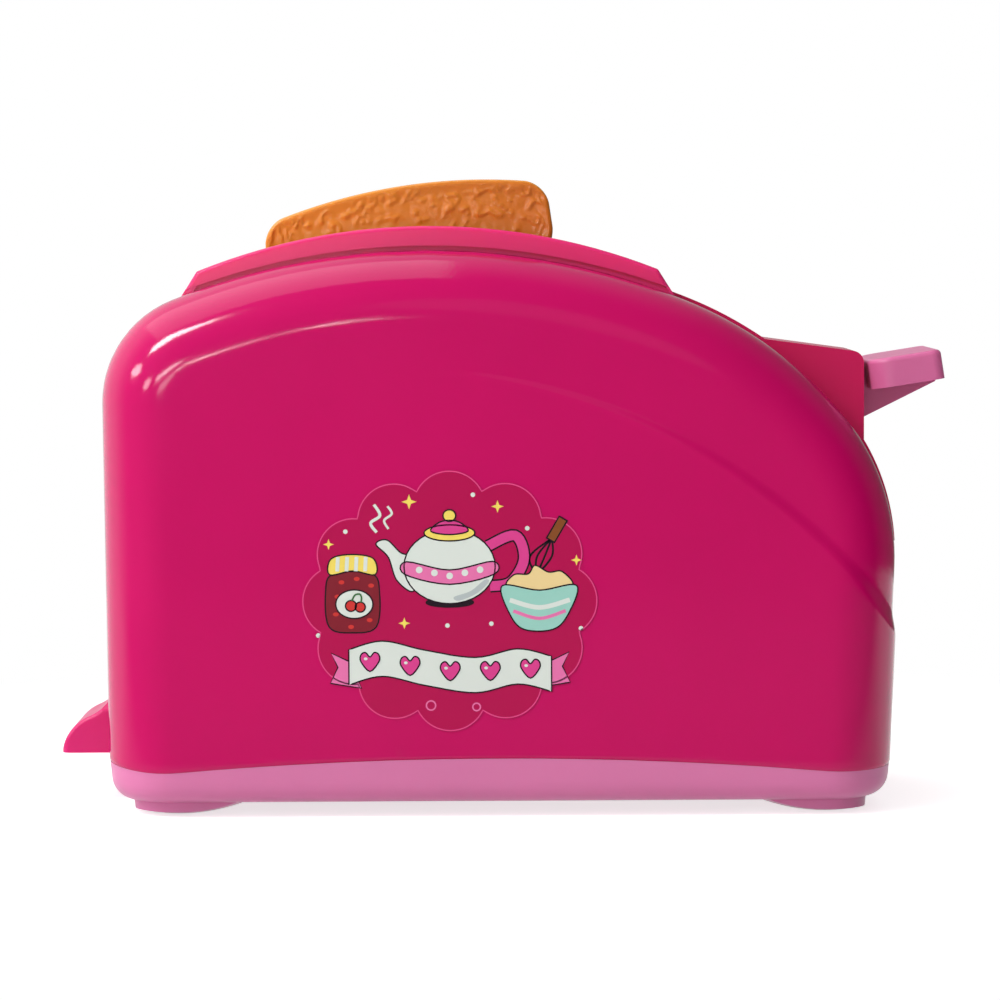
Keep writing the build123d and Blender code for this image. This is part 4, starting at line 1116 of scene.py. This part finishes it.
def world():
    """A white studio: brighter on the left, white to the camera and behind the object."""
    made = bpy.data.worlds.new("studio")
    made.use_nodes = True
    tree = made.node_tree
    tree.nodes.remove(tree.nodes["Background"])
    way = separate(tree, add_node(tree, "TexCoord").outputs["Generated"])
    path = add_node(tree, "LightPath")

    def background(left, right, reach):
        """White light that changes from left to right."""
        shader = add_node(tree, "Background", {"Color": WHITE})
        tree.links.new(ramp(tree, way["X"], -reach, reach, left, right), shader.inputs["Strength"])
        return shader.outputs[0]

    light = background(LEFT_LIGHT, RIGHT_LIGHT, 1.0)
    room = background(*ROOM_GLOSS, 1.0)
    backdrop = background(*BACKDROP_GLOSS, BACKDROP_REACH)
    gloss = mix_shaders(tree, ramp(tree, way["Y"], -BEHIND_REACH, BEHIND_REACH), room, backdrop)
    shown = mix_shaders(tree, mirror_rays(tree, path), light, gloss)
    white = add_node(tree, "Background", {"Color": WHITE}).outputs[0]
    seen = mix_shaders(tree, path.outputs["Is Camera Ray"], shown, white)
    tree.links.new(seen, tree.nodes["World Output"].inputs["Surface"])
    bpy.context.scene.world = made


def floor():
    """A pale round floor that keeps the object's shadow and ends in plain white."""
    rim = [(*polar((0, 0), FLOOR_RADIUS, 360 * k / FLOOR_SIDES), 0) for k in range(FLOOR_SIDES)]
    made = mesh_object("floor", rim, [tuple(range(FLOOR_SIDES))])
    material, tree, shader = new_material("floor")
    shader.inputs["Base Color"].default_value = FLOOR_COLOUR
    shader.inputs["Roughness"].default_value = FLOOR_ROUGHNESS
    shader.inputs["Specular IOR Level"].default_value = FLOOR_SPECULAR
    place = add_node(tree, "TexCoord").outputs["Object"]
    path = add_node(tree, "LightPath")
    raised = add_node(tree, "AddShader")
    tree.links.new(shader.outputs[0], raised.inputs[0])
    tree.links.new(add_node(tree, "Emission", {"Strength": FLOOR_LIFT}).outputs[0], raised.inputs[1])
    distance = add_node(tree, "VectorMath", operation="LENGTH")
    tree.links.new(place, distance.inputs[0])
    fade = ramp(tree, distance.outputs["Value"], *FLOOR_FADE, interpolation_type="SMOOTHSTEP")
    shown = mix_shaders(tree, fade, raised.outputs[0], add_node(tree, "Emission").outputs[0])
    mirrored = add_node(tree, "Emission")
    behind = ramp(tree, separate(tree, place)["Y"], *FLOOR_BEHIND, low=FLOOR_GLOSS)
    tree.links.new(behind, mirrored.inputs["Strength"])
    lit = mix_shaders(tree, mirror_rays(tree, path), shader.outputs[0], mirrored.outputs[0])
    seen = mix_shaders(tree, path.outputs["Is Camera Ray"], lit, shown)
    tree.links.new(seen, tree.nodes["Material Output"].inputs["Surface"])
    paint(made, material)


camera()
world()
floor()
soft_box("key", (-1.3, -1.1, 1.3), (0, 0, 0.08), (1, -1, 0), 1.4, 1.4, 7, gloss=False)
for lamp in LAMPS:
    soft_box(*lamp)
for number, glint in enumerate(SHOULDER_GLINTS):
    soft_box("shoulder_glint_%d" % number, *glint, "ELLIPSE", matt=False)

bpy.context.scene.view_settings.view_transform = "Standard"
